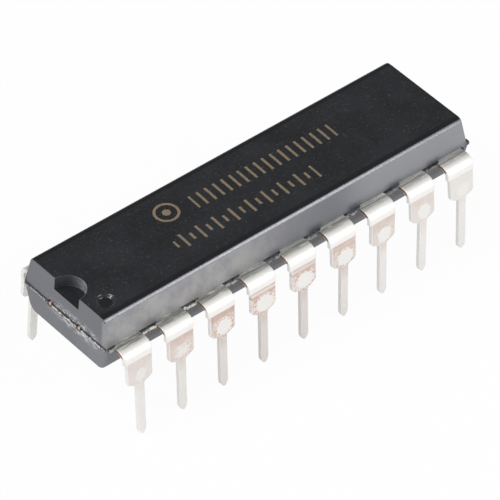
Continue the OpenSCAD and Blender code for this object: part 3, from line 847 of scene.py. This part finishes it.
# %% Turned cutters
def turned(name, centre, profile, steps=72):
    """A closed turned solid: the (radius, height) profile carried round the vertical line at `centre`."""
    a = np.linspace(0, 2*math.pi, steps, endpoint=False)
    r, z = np.asarray(profile, float).T
    points = np.stack([centre[0] + r[:, None]*np.cos(a), centre[1] + r[:, None]*np.sin(a),
                       np.repeat(z[:, None], steps, 1)], -1).reshape(-1, 3)
    return make_mesh(name, points, grid_faces(len(profile), steps))


def pocket_profile(radius, floor_radius, floor, face, rim, corner, clear=0.3):
    """Profile of a pocket from its centre: floor, quarter-round corner, wall, quarter-round rim, and out.

    The cutter goes on to `clear` mm past the face, so that no skin is left over the pocket.
    """
    side = 1 if face > floor else -1
    a = np.linspace(0, math.pi/2, 10)
    inner = np.column_stack([floor_radius - corner + corner*np.sin(a), floor + side*corner*(1 - np.cos(a))])
    outer = np.column_stack([radius + rim*(1 - np.cos(a)), face - side*rim*(1 - np.sin(a))])
    return np.vstack([[0, floor], inner, outer, [radius + rim, face + side*clear], [0, face + side*clear]])


print("points in the profile of a pocket:", len(pocket_profile(1.0, 0.9, 0.0, 0.1, 0.02, 0.02)))


# %% The four pockets
NOTCH_R, NOTCH_FLOOR_Z = 0.93, 6.37
NOTCH_CENTRE = (-11.219, 0.0)
MARK_R, MARK_FLOOR_R, MARK_DEPTH = 0.465, 0.363, 0.12
MARK_CENTRE = (-10.309, -1.791)
EJECTOR_R, EJECTOR_DEPTH, EJECTOR_X = 0.95, 0.05, 7.62
EJECTOR_FLOOR_R, EJECTOR_FLOOR_Z = EJECTOR_R - 0.01, UNDERSIDE_Z + EJECTOR_DEPTH
notch = pocket_profile(NOTCH_R, NOTCH_R, NOTCH_FLOOR_Z, TOP_Z, rim=0.03, corner=0.02)
mark = pocket_profile(MARK_R, MARK_FLOOR_R, TOP_Z - MARK_DEPTH, TOP_Z, rim=0.035, corner=0.04)
ejector = pocket_profile(EJECTOR_R, EJECTOR_FLOOR_R, EJECTOR_FLOOR_Z, UNDERSIDE_Z, rim=0.02, corner=0.02)
cutters = [turned("notch_tool", NOTCH_CENTRE, notch), turned("mark_tool", MARK_CENTRE, mark, 48)]
cutters += [turned("ejector_tool", (x, 0), ejector, 48) for x in (-EJECTOR_X, EJECTOR_X)]
print("turned cutters:", len(cutters))


# %% Skin of the body
def closed_rings(name, rings, sharp):
    """The skin between rings of points, with a flat cap over the first and the last ring."""
    rows, cols = rings.shape[:2]
    caps = [list(range(cols)), list(range((rows - 1)*cols, rows*cols))]
    return make_mesh(name, rings.reshape(-1, 3), grid_faces(rows, cols) + caps, sharp=sharp)


def cut(mesh, cutters):
    """Subtracts each cutter from the mesh, exactly, and returns the result."""
    holder = bpy.data.objects.new("work", mesh)
    bpy.context.scene.collection.objects.link(holder)
    tools = []
    for k, cutter in enumerate(cutters):
        tools.append(bpy.data.objects.new(f"tool_{k}", cutter))
        bpy.context.scene.collection.objects.link(tools[k])
        modifier = holder.modifiers.new(f"cut_{k}", "BOOLEAN")
        modifier.operation = "DIFFERENCE"
        modifier.solver = "EXACT"
        modifier.object = tools[k]
    bpy.context.view_layer.update()
    result = bpy.data.meshes.new_from_object(holder.evaluated_get(bpy.context.evaluated_depsgraph_get()))
    for thing in [holder, *tools]:
        bpy.data.objects.remove(thing)
    return result


SMOOTH_UNDER = 12.0
skin = cut(closed_rings("skin", body_levels, SMOOTH_UNDER), cutters)
skin.name = "moulding_skin"
print("faces of the skin:", len(skin.polygons))


# %% [markdown]
# ### Which finish goes where
#
# Each part of the mould's steel was finished in its own way, so the moulding changes its gloss from face to
# face. Painting the faces one by one would have to be done again after each change of the mesh. Instead,
# each face gets its finish from where its middle lies and how far its normal turns up.

# %% Finish of each face of the body
def finish_body(mesh, near=0.01, rim=0.03):
    """Gives each face its finish, and returns how many faces each finish has.

    A face belongs to a height or a radius up to `near` or `rim` mm past it. `up` is the height of its unit
    normal: 1 on a level face, over 0.97 within 14 degrees of level, and 0 on an upright wall.
    """
    middle = np.empty(len(mesh.polygons)*3)
    normal = np.empty(len(mesh.polygons)*3)
    mesh.polygons.foreach_get("center", middle)
    mesh.polygons.foreach_get("normal", normal)
    x, y, z = middle.reshape(-1, 3).T/MM
    to_end, _, up = normal.reshape(-1, 3).T
    finish = np.full(len(x), WALL, np.int32)
    finish[(up > 0.3) & (z > TOP_Z - TOP_EDGE_R)] = ROUND
    in_notch = np.hypot(x - NOTCH_CENTRE[0], y - NOTCH_CENTRE[1]) < NOTCH_R + rim
    in_notch &= (x > NOTCH_CENTRE[0] + 0.1) | (np.abs(to_end) < 0.9)
    finish[in_notch & (z > NOTCH_FLOOR_Z - near)] = INSERT
    finish[(up > 0.97) & (z > NOTCH_FLOOR_Z - near)] = TOP
    # RIM: a band round the flat whose darker colours are a painted dark reflection.
    finish[(up > 0.88) & (z > NOTCH_FLOOR_Z + 0.1) & (np.abs(y) > FLAT_Y - RIM_WIDTH)] = RIM
    in_mark = np.hypot(x - MARK_CENTRE[0], y - MARK_CENTRE[1]) < MARK_R + rim
    in_mark &= z > TOP_Z - MARK_DEPTH - near
    finish[in_mark] = PIN_FLOOR
    finish[in_mark & (up < 0.95)] = PIN_SLOPE
    mesh.polygons.foreach_set("material_index", finish)
    return np.bincount(finish)


skin.shade_smooth()
skin.set_sharp_from_angle(angle=math.radians(SMOOTH_UNDER))
add_piece(skin, COMPOUND, ("moulded_body",))
print("faces of each finish:", finish_body(skin).tolist())

# %% [markdown]
# ## The leads
#
# A lead is drawn the way it is made. First comes the flat blank: the finger that will lie in the resin,
# the anchor, the shoulder with the stubs of the dam bar, the wide part, the neck and the pointed pin. Two
# outlines, left and right, run along it, and a rounded rectangle of strip is carried between them. Then
# the blank is bent: distance along the strip turns into an arc round the bend's centre, and after that
# into the leaning leg. The same formula bends all points at once.

# %% What differs from lead to lead
# Lengths are in mm. bend_at is the strip distance at which the bend begins, and bend_angle is its turn in
# degrees. stubs are how far the dam bar's stubs stand out left and right, lean is the shift along the row
# at the neck and at the tip, tip is the length of the taper, and radii are those of the patch of thick tin.
# wobble is the strength of the noise in that patch's rim. All the others are shares from 0 to 1.
USUAL = {
    "bend_at": 3.62, "bend_angle": 88.0, "stubs": (0.13, 0.03), "lean": (0.0, 0.0), "tip": 0.4,
    "rubbed": 0.4, "second_line": 0.0, "tarnish": 0.1, "core": 1.0,
    "radii": (0.47, 0.50), "patch": 1.0, "wobble": 2.2, "specks": 0.3,
}
WORN = {
    1: {"rubbed": 0.32, "radii": (0.30, 0.40), "patch": 0.7, "wobble": 4.5, "specks": 0.1, "tarnish": 0.0,
        "lean": (0.01, 0.02)},
    2: {"rubbed": 0.60, "radii": (0.42, 0.40), "patch": 0.7, "wobble": 6.5, "tarnish": 0.08},
    3: {"rubbed": 0.85, "radii": (0.47, 0.52), "specks": 0.85, "tarnish": 0.24},
    4: {"rubbed": 0.64, "radii": (0.53, 0.50), "specks": 0.95, "tarnish": 0.32, "second_line": 0.8},
    5: {"rubbed": 0.60, "radii": (0.52, 0.50), "specks": 0.85, "tarnish": 0.32, "second_line": 0.5},
    6: {"rubbed": 0.70, "radii": (0.50, 0.53), "specks": 0.5, "tarnish": 0.16, "second_line": 0.15,
        "lean": (0.04, 0.0)},
    7: {"rubbed": 0.52, "radii": (0.43, 0.48), "wobble": 2.6, "specks": 0.25, "tarnish": 0.03,
        "lean": (-0.02, -0.03)},
    8: {"rubbed": 0.34, "radii": (0.40, 0.47), "wobble": 3.0, "specks": 0.05, "tarnish": 0.0,
        "lean": (0.06, 0.01)},
    9: {"rubbed": 0.12, "radii": (0.40, 0.40), "patch": 0.7, "wobble": 3.0, "specks": 0.0, "tarnish": 0.0,
        "lean": (0.09, 0.10), "tip": 0.28},
    11: {"rubbed": 0.6, "specks": 0.6},
    13: {"rubbed": 0.7, "specks": 0.8},
    15: {"rubbed": 0.3, "wobble": 4.0},
    16: {"rubbed": 0.55, "second_line": 0.5},
    18: {"rubbed": 0.05, "specks": 0.0, "tarnish": 0.0, "core": 0.2, "bend_at": 3.52, "bend_angle": 86.0,
         "stubs": (0.04, 0.03), "lean": (-0.05, -0.1)},
}
print("leads with traits of their own:", len(WORN))


# %% Middle line of a finger
MIDDLE = (PER_ROW + 1)//2
FINGER_W, ROOT_W, ROOT_Y = 0.3, 0.9, WALL_Y - 0.45
SIDE_TIP_Y, SIDE_TURN_Y, TIP_SPREAD = 1.62, 1.97, 3.4
END_TIP_X, FIRST_RUN_Y, RUN_STEP, CHAMFER = -1.92, 0.52, 0.52, 0.45


def finger_path(n):
    """Middle line of the finger in the resin, from its bonding tip to its root, and its widths.

    The middle fingers reach the long side of the pad, with their tips TIP_SPREAD finger widths apart. The
    others run level to its end, RUN_STEP apart, and turn to their root over a chamfer. The half of the row
    past the middle is the mirror image of the first.
    """
    i = place_in_row(n)
    mirror = 1 if i <= MIDDLE else -1
    k = i if mirror > 0 else PER_ROW + 1 - i
    x = (k - MIDDLE)*PITCH
    root = [x, ROOT_Y]
    if k >= MIDDLE - 1:
        tip = -(MIDDLE - k)*FINGER_W*TIP_SPREAD
        path = [[tip, SIDE_TIP_Y], [tip, SIDE_TURN_Y], root]
    else:
        run = FIRST_RUN_Y + (k - 1)*RUN_STEP
        path = [[END_TIP_X, run], [x + CHAMFER, run], [x, run + CHAMFER], root]
    return np.array(path)*[mirror, 1], np.array([FINGER_W]*(len(path) - 1) + [ROOT_W])


def mitred(path, widths):
    """Left and right outlines of a strip along a path: each corner moves half a width along its mitre.

    The mitre is the turned mean of the directions before and after the corner, over its cosine to either.
    """
    step = np.diff(path, axis=0)
    step /= np.linalg.norm(step, axis=1)[:, None]
    a = np.vstack([step[:1], step])
    b = np.vstack([step, step[-1:]])
    middle = (a + b)/np.linalg.norm(a + b, axis=1)[:, None]
    side = np.column_stack([-middle[:, 1], middle[:, 0]])/np.sum(middle*a, axis=1)[:, None]
    return path + side*widths[:, None]/2, path - side*widths[:, None]/2


print("points on the middle lines of fingers 1 to 5:", [len(finger_path(n)[0]) for n in range(1, 6)])

# %% Place along the strip
BEND_Z = 5.035
BEND_R = 0.365


def strip_place(z, bend_at, angle):
    """Distance along the strip at which the leg is at height z: bend_at + BEND_R*angle + drop/sin(angle)."""
    start_z = BEND_Z + BEND_R*math.cos(angle)
    return bend_at + BEND_R*angle + (start_z - z)/math.sin(angle)


print("the tip of a lead is", round(strip_place(0.0, 3.62, math.radians(88)), 2), "mm along the strip")

# %% Outline of the leg
HEEL_Z, HEEL_DROP, HEEL_R = 3.46, 0.21, 0.3
NECK_Z, FILLET_R = 3.25, 0.12
PIN_FROM_Z, PIN_TO_Z = 2.9, 0.6
BLUNT = 0.05


def leg_outline(tip_length):
    """Half widths and heights of the leg below the stubs: heel round, neck fillet, pin and tapered tip.

    The heel slopes from HEEL_Z down by HEEL_DROP to the pin's width. The tip's side is an arc that touches
    the pin and ends BLUNT from the middle: its radius is (length^2 + depth^2)/(2*depth).
    """
    wide, pin = LEAD_W/2, PIN_W/2
    turn = math.pi/2 - math.atan2(HEEL_DROP, wide - pin)
    a = np.linspace(0, turn, 8)
    heel_z = HEEL_Z + HEEL_R*math.tan(turn/2) - HEEL_R*np.sin(a)
    heel = np.column_stack([wide - HEEL_R*(1 - np.cos(a)), heel_z])
    b = np.linspace(turn, 0, 5)
    fillet_z = NECK_Z - FILLET_R*math.tan(turn/2) + FILLET_R*np.sin(b)
    fillet = np.column_stack([pin + FILLET_R*(1 - np.cos(b)), fillet_z])
    straight = np.column_stack([np.full(6, pin), np.linspace(PIN_FROM_Z, PIN_TO_Z, 6)])
    tip_r = (tip_length**2 + (pin - BLUNT)**2)/(2*(pin - BLUNT))
    z = np.linspace(tip_length, 0.0, 9)
    tip = np.column_stack([pin - tip_r + np.sqrt(tip_r**2 - (tip_length - z)**2), z])
    return np.vstack([heel, fillet, straight, tip])


print("points down one side of a leg:", len(leg_outline(0.4)))

# %% Widths along the leg
ANCHOR_END, STUB_BEGINS, STUB_FULL, LEVEL_END = 2.745, 3.235, 3.265, 3.45
STUB_END_Z = 4.80


def leg_widths(bend_at, angle, proud, tip_length):
    """Strip distances and half widths (left, right) of the straight part, from the anchor to the tip.

    `proud` is how far the dam bar's stubs stand out on the left and on the right. They begin just outside
    the wall and go round the bend, and the last row closes the tip.
    """
    wide = LEAD_W/2
    left, right = wide + proud[0], wide + proud[1]
    stub_rows = [STUB_END_Z + dz for dz in (0.03, 0.0, -0.02, -0.5)]
    end, torn, clear, band = [strip_place(z, bend_at, angle) for z in stub_rows]
    rows = [[ANCHOR_END, wide, wide], [STUB_BEGINS, wide, wide]]
    rows += [[STUB_FULL, left, right], [LEVEL_END, left, right]]
    rows += [[q, left, right] for q in np.linspace(bend_at, bend_at + BEND_R*angle, 15)]
    rows += [[end, left, right], [torn, left - 0.03, right - 0.01], [clear, wide, wide], [band, wide, wide]]
    rows += [[strip_place(z, bend_at, angle), w, w] for w, z in leg_outline(tip_length)]
    rows += [[strip_place(0.0, bend_at, angle) + 0.001, 0.0, 0.0]]
    return np.array(rows)


print("stations along the leg:", len(leg_widths(3.62, math.radians(88), (0.13, 0.03), 0.4)))

# %% [markdown]
# ### The section and the bend
#
# A punch rolls the strip's upper edge over and leaves a small burr at its lower one, and these catch the
# light along each lead. A bevel would round both edges alike, so the section is drawn with its own radius
# for each. For the bend, an armature could curve the flat blank, but its skin weights would squeeze the
# metal. A formula keeps the thickness: distance along the strip becomes an angle round the bend's centre.

# %% Section of the strip
SHEAR_R = 0.04
BURR_R = 0.02
SIDE_LEVELS = (0.55, 0.35, -0.55, -0.75)


def strip_section(across=5, steps=4):
    """Ring of the strip: blend from left to right, 0 to 1, offset along the outline's normal, and height.

    The outer face ends in the rolled-over shear edge and the inner face in the small burr edge, each a
    quarter circle. Between them the side has points at SIDE_LEVELS, in halves of the strip's thickness. The
    left side is the right one in reverse, with a blend of 0.
    """
    a = np.linspace(0, math.pi/2, steps)
    h = STRIP_T/2
    line = np.linspace(0, 1, across)
    ones = np.ones(steps)
    top = np.column_stack([line, np.full(across, -SHEAR_R), np.full(across, h)])
    shear = np.column_stack([ones, -SHEAR_R + SHEAR_R*np.sin(a), h - SHEAR_R + SHEAR_R*np.cos(a)])[1:]
    side = np.column_stack([np.ones(4), np.zeros(4), np.array(SIDE_LEVELS)*h])
    burr = np.column_stack([ones, -BURR_R + BURR_R*np.cos(a), -h + BURR_R - BURR_R*np.sin(a)])[:-1]
    low = np.column_stack([line[::-1], np.full(across, -BURR_R), np.full(across, -h)])
    left = [part[::-1]*[0, 1, 1] for part in (burr, side, shear)]
    return np.vstack([top, shear, side, burr, low, *left])


def unit_normals(line, side):
    """Outward normals of an outline: the turned mean of the directions before and after each point."""
    step = np.diff(line, axis=0)
    step /= np.maximum(np.linalg.norm(step, axis=1), 1e-9)[:, None]
    mean = np.vstack([step[:1], step]) + np.vstack([step, step[-1:]])
    mean /= np.maximum(np.linalg.norm(mean, axis=1), 1e-9)[:, None]
    return side*np.column_stack([-mean[:, 1], mean[:, 0]])


SECTION = strip_section()
print("points round the section:", len(SECTION))


# %% The bend
def bend_strip(q, h, bend_at, full):
    """Carries strip distance q and height h over the middle plane round the bend.

    Up to bend_at the strip is level. Then the angle is (q - bend_at)/BEND_R, up to the full bend, and what
    is left of q runs straight along the leaning leg. Returns the distance from the middle and the height.
    """
    angle = np.clip((q - bend_at)/BEND_R, 0, full)
    rest = np.maximum(q - bend_at - BEND_R*full, 0)
    out = np.minimum(q, bend_at) + (BEND_R + h)*np.sin(angle) + rest*math.cos(full)
    up = BEND_Z + (BEND_R + h)*np.cos(angle) - rest*math.sin(full)
    return out, up


reach, low = bend_strip(np.array([6.0]), 0.0, 3.62, math.radians(88))
print("strip distance 6 mm lies at", reach.round(3), low.round(3))


# %% [markdown]
# ### What the pattern needs to know
#
# The tin's material has to find the dam line, the patch and the sheared side on leads that are bent and
# leaning. Texture coordinates would give the place, but not the traits of a lead. So each point carries
# plain numbers, worked out while the strip is still flat: its place on the strip, how bare its copper is,
# and the traits of its lead.

# %% What the tin's pattern needs
PATCH_Z = 3.84
PATCH_X = 0.06


def bare_core(q, stub_end, core):
    """How bare the stub's core is at strip distance q, in mm.

    It is most bare up to 3.82 mm, a third of the way round the bend, and then fades to the stub's end.
    `core` scales it from 3.44 mm on.
    """
    places = [3.20, 3.26, 3.38, 3.44, 3.82, 3.98, stub_end - 0.04, stub_end + 0.02]
    shares = np.array([0, 0.72, 0.72, 0.72, 0.72, 0.28, 0.2, 0])
    shares[3:] *= core
    return np.interp(q, places, shares)


def lead_values(across, q, h, offset, up, stub, trait):
    """Attributes of a lead, one value per point: places on the strip, and the traits of this lead.

    The core is bare between the two middle levels of the side, so a skin of tin is left over and under it.
    """
    radius_u, radius_v = trait["radii"]
    level = h/(STRIP_T/2)
    core = (offset == 0) & (level < SIDE_LEVELS[1] + 0.01) & (level > SIDE_LEVELS[2] - 0.01)
    values = {
        "height": up,
        "along": q,
        "outer": np.broadcast_to(level > 0.98, up.shape),
        "cut": stub[:, None]*core[None, :],
        "patch_u": (across - PATCH_X)/radius_u,
        "patch_v": (up - PATCH_Z)/radius_v,
    }
    for key in ("rubbed", "second_line", "tarnish", "patch", "wobble", "specks"):
        values[key] = np.full(up.shape, trait[key])
    return values


print("the patch lies", PATCH_Z, "mm up and", PATCH_X, "mm off the middle")


# %% One lead
def lead_mesh(n):
    """One lead: outlines, section and bend as arrays, then its place in the near or far row.

    At both tips the outlines meet and the offset is 0, so that the section closes to an edge.
    """
    trait = USUAL | WORN.get(n, {})
    bend_at, full = trait["bend_at"], math.radians(trait["bend_angle"])
    x = lead_x(n)
    path, widths = finger_path(n)
    left, right = mitred(path, widths)
    leg = leg_widths(bend_at, full, trait["stubs"], trait["tip"])
    left = np.vstack([path[:1], left, np.column_stack([x - leg[:, 1], leg[:, 0]])])
    right = np.vstack([path[:1], right, np.column_stack([x + leg[:, 2], leg[:, 0]])])
    f, offset, h = SECTION.T
    inside = np.ones(len(left))
    inside[[0, -1]] = 0
    moved = (inside[:, None]*offset)[..., None]
    a = left[:, None, :] + moved*unit_normals(left, 1)[:, None, :]
    b = right[:, None, :] + moved*unit_normals(right, -1)[:, None, :]
    across, q = np.moveaxis(a*(1 - f)[None, :, None] + b*f[None, :, None], -1, 0)
    out, up = bend_strip(q, h[None, :], bend_at, full)
    stub = bare_core(leg[:, 0], strip_place(STUB_END_Z, bend_at, full), trait["core"])
    stub = np.append(np.zeros(len(left) - len(leg)), stub)
    values = lead_values(across - x, q, h, offset, up, stub, trait)
    lean = np.interp(up, [0.0, 3.2, 4.6], [trait["lean"][1], trait["lean"][0], 0.0])
    row = -1 if n <= PER_ROW else 1
    points = np.stack([across + lean, row*out, up], -1).reshape(-1, 3)
    return make_mesh(f"tinned_lead_{n:02d}", points, grid_faces(*up.shape), values, sharp=50.0)


for n in range(1, 2*PER_ROW + 1):
    lead = add_piece(lead_mesh(n), [TINNED], (f"lead_{n:02d}",))
print("a lead has", len(lead.data.polygons), "faces")

# %% [markdown]
# ## The flash
#
# Each ledge between two leads is a strip of resin as thick as the metal. Its outer side is broken, so its
# reach wanders. A displaced plane would tear or fold at that rim. Here a blunt section is carried along the
# wall, and its outer points are moved by a random curve with a few deeper bites, so the rim stays closed.
# The fins at the ends are the same shape, thinner and turned. The seed is fixed, so that each run breaks
# the resin in the same places.

# %% A ragged strip
def wandering(length, count, rng, step=0.11):
    """Random curve about 1 along a length: values at knots `step` mm apart, joined by straight lines.

    They scatter by 0.16, and one knot in ten is a bite 0.5 deeper.
    """
    knots = max(4, int(length/step))
    values = 1 + 0.16*rng.standard_normal(knots) - 0.5*(rng.random(knots) < 0.10)
    return np.interp(np.linspace(0, knots - 1, count), np.arange(knots), values)


def ragged_strip(start, end, reach, low, high, rng, inner=0.12):
    """Section carried from start to end of a wall: a blunt tongue that reaches out by reach*wandering.

    It begins `inner` mm inside the body. t and v are the reach and the height of the section's points, as
    shares. Returns rings of (along, out, up), and the nearness of each point to the broken rim, which is
    the square of its share of the reach.
    """
    length = end - start
    count = max(8, int(length/0.035))
    along = np.linspace(start, end, count)
    curve = np.clip(wandering(length, count, rng), 0.25, 1.12)
    fall = np.clip(0.85 + 0.3*wandering(length, count, rng), 0.8, 1.0)
    t = np.array([0.0, 0.35, 0.7, 0.93, 1.0, 1.0, 0.93, 0.6, 0.0])
    v = np.array([1.0, 0.97, 0.93, 0.86, 0.62, 0.30, 0.10, 0.0, 0.0])
    out = -inner + t[None, :]*(reach*curve + inner)[:, None]
    up = low + v[None, :]*((high - low)*fall)[:, None]
    rim = np.clip(out/(reach*curve)[:, None], 0, 1)**2
    return np.stack([np.repeat(along[:, None], len(t), 1), out, up], -1), rim


rng = np.random.default_rng(7)
trial, _ = ragged_strip(0.0, 1.0, 0.1, 0.0, 0.1, np.random.default_rng(1))
print("a strip of 1 mm has", len(trial), "sections")


# %% Strips in one mesh
SHARP_FLASH = 60.0


def strips_mesh(name, strips, to_space, paleness):
    """Joins ragged strips into one mesh: each is closed by its two end faces and has its own paleness."""
    points, faces, rims, pales, base = [], [], [], [], 0
    for (rings, rim), pale in zip(strips, paleness):
        rows, cols = rings.shape[:2]
        quads = np.array(grid_faces(rows, cols)) + base
        caps = [list(range(base, base + cols)), list(range(base + (rows - 1)*cols, base + rows*cols))]
        faces += quads.tolist() + caps
        points.append(to_space(rings.reshape(-1, 3)))
        rims.append(rim.ravel())
        pales.append(np.full(rim.size, pale))
        base += rows*cols
    values = {"rim": np.concatenate(rims), "pale": np.concatenate(pales)}
    return make_mesh(name, np.vstack(points), faces, values, sharp=SHARP_FLASH)


print("edges of the flash over", SHARP_FLASH, "degrees stay sharp")


# %% Ledges between the leads
# The paleness of each ledge, from the one between leads 1 and 2. The last two are the corners: the one past
# lead 9, and the one before lead 1, which starts further in on the far side.
DAM_PROUD, CLEARANCE = 0.18, 0.005
LEDGE = (PARTING_Z - STRIP_T/2, PARTING_Z + STRIP_T/2)
GAP_PALENESS = [1.0, 0.9, 0.5, 0.5, 0.4, 0.4, 0.25, 0.2, 0.2, 0.5]
edges = [lead_x(i) + side*LEAD_W/2 for i in range(1, PER_ROW + 1) for side in (-1, 1)]
ends = [*edges[2::2], END_X - 0.35, edges[0]]
for side, label, corner in ((-1, "near", -END_X + 0.06), (1, "far", -END_X + 0.40)):
    starts = [*edges[1::2], corner]
    strips = [ragged_strip(start + CLEARANCE, end - CLEARANCE, DAM_PROUD, *LEDGE, rng)
              for start, end in zip(starts, ends)]

    def beside_wall(p, side=side):
        """Along x, out from the long wall, up."""
        return np.column_stack([p[:, 0], side*(WALL_Y + p[:, 1]), p[:, 2]])

    mesh = strips_mesh(f"dam_flash_{label}", strips, beside_wall, GAP_PALENESS)
    add_piece(mesh, [BROKEN_RESIN])
print("ledges of flash per side:", len(strips))

# %% [markdown]
# ### The fins
#
# At the ends the resin only crept between the mould's two halves, so the fin there is thin and hardly
# stands out. It is left out where a tie end comes through, and a nub of it is left at the far near corner.

# %% Fins at the ends
TIE_GAPS = ((-1.26, -0.94), (0.94, 1.26))
FIN = (0.075, PARTING_Z - 0.13, PARTING_Z + 0.02)
NUB = (-3.00, -2.68, 0.24, PARTING_Z - 0.16, PARTING_Z + 0.10)
FIN_PALENESS = [0.9, 1.0, 0.6, 0.1]
for side, label, lowest, highest in ((-1, "notch_end", -3.05, 3.05), (1, "far_end", -2.95, 2.6)):
    runs = ((lowest, TIE_GAPS[0][0]), (TIE_GAPS[0][1], TIE_GAPS[1][0]), (TIE_GAPS[1][1], highest))
    strips = [ragged_strip(start, end, *FIN, rng) for start, end in runs]
    if side > 0:
        strips.append(ragged_strip(*NUB, rng))

    def beside_end(p, side=side):
        """Along y, out from the end face, up."""
        return np.column_stack([side*(END_X + p[:, 1]), p[:, 0], p[:, 2]])

    mesh = strips_mesh(f"end_flash_{label}", strips, beside_end, FIN_PALENESS)
    add_piece(mesh, [BROKEN_RESIN])
    print(label, "has", len(mesh.polygons), "faces of flash")

# %% [markdown]
# ## Floor and light
#
# The object stands on a plain white floor. What the camera, a gloss or a glass sees of it is mostly a plain
# white glow of strength 1, so it comes out white without more light on the object, and the rest is its lit
# surface, so that the object's shadow stays. Round it is a soft studio: a broad lamp high at the back on
# the left, a low one in front on the right, which draws the bright line along the rounded edge, a fill
# lamp on the left, and a dim pale room.

# %% Floor
FLOOR_HALF = 3000.0
GLOW_SHARE = 0.96


def floor_material(glow_share):
    """White matt sweep: a plain glow of strength 1 mixed over the lit surface for camera and gloss rays."""
    material, add, _ = new_material("white_paper_sweep")
    rays = add("ShaderNodeLightPath").outputs
    seen = add("ShaderNodeMath", [rays["Is Camera Ray"], rays["Is Glossy Ray"]], operation="MAXIMUM")
    seen = add("ShaderNodeMath", [seen, rays["Is Transmission Ray"]], operation="MAXIMUM")
    share = add("ShaderNodeMath", [seen, glow_share], operation="MULTIPLY")
    lit = add("ShaderNodeBsdfDiffuse", {"Color": linear("#f2f2f2")})
    glow = add("ShaderNodeEmission", {"Color": linear("#ffffff"), "Strength": 1.0})
    add("ShaderNodeOutputMaterial", [add("ShaderNodeMixShader", [share, lit, glow])])
    return material


corners = np.array([[-1, -1, 0], [1, -1, 0], [1, 1, 0], [-1, 1, 0]])*FLOOR_HALF
floor = bpy.data.objects.new("floor", bpy.data.meshes.new("floor"))
floor.data.from_pydata((corners*MM).tolist(), [], [[0, 1, 2, 3]])
floor.data.materials.append(floor_material(GLOW_SHARE))
bpy.context.scene.collection.objects.link(floor)
print("floor of", 2*FLOOR_HALF*MM, "m")

# %% World
ROOM_STRENGTH = 0.28
world = bpy.data.worlds.new("studio_room")
world.use_nodes = True
world.node_tree.nodes.clear()
room = node(world.node_tree, "ShaderNodeBackground", {"Color": linear("#ffffff"), "Strength": ROOM_STRENGTH})
node(world.node_tree, "ShaderNodeOutputWorld", {"Surface": room})
bpy.context.scene.world = world
print("the room's strength is", ROOM_STRENGTH)


# %% Lamps
def soft_lamp(name, towards, distance, size, radiance):
    """A soft box of `size` mm, `distance` mm away in a direction, aimed at the object.

    A lamp's power is its radiance times its area times pi.
    """
    lamp = bpy.data.lights.new(name, "AREA")
    lamp.shape = "RECTANGLE"
    lamp.size, lamp.size_y = size[0]*MM, size[1]*MM
    lamp.energy = radiance*lamp.size*lamp.size_y*math.pi
    holder = bpy.data.objects.new(name, lamp)
    direction = Vector(towards).normalized()
    target = Vector((0, 0, PARTING_Z*MM))
    holder.matrix_world = (Matrix.Translation(target + direction*distance*MM)
                           @ direction.to_track_quat("Z", "Y").to_matrix().to_4x4())
    bpy.context.scene.collection.objects.link(holder)


soft_lamp("high_back_left_softbox", (-0.5, 0.3, 0.81), 600, (300, 300), 5.0)
soft_lamp("low_front_softbox", (0.43, -0.80, 0.42), 420, (240, 350), 4.3)
soft_lamp("left_fill_softbox", (-0.90, -0.25, 0.36), 500, (260, 260), 4.25)

# %% [markdown]
# ## Camera
#
# The camera stands where the photograph was taken from: in front of the notch end on the left, about 43
# degrees up, and far off with a long lens, so that parallel edges hardly converge. Its place and its
# directions were found by fitting the package's drawn corners to the photograph.

# %% Camera
CAMERA_AT = Vector((-106.9059, -126.7152, 157.9018))*MM
LOOK = Vector((0.4711018, 0.5581209, -0.6830550))
UP = Vector((0.4347188, 0.5268919, 0.7303455))
FOCAL_LENGTH = 334.365
lens = bpy.data.cameras.new("camera")
lens.sensor_width = 36.0
lens.lens = FOCAL_LENGTH
lens.clip_start = 0.01
camera = bpy.data.objects.new("camera", lens)
turn = Matrix((LOOK.cross(UP), UP, -LOOK)).transposed()
camera.matrix_world = Matrix.Translation(CAMERA_AT) @ turn.to_4x4()
bpy.context.scene.collection.objects.link(camera)
bpy.context.scene.camera = camera
bpy.context.scene.view_settings.view_transform = "Standard"
print("the camera is", round(CAMERA_AT.length/MM), "mm from the origin")
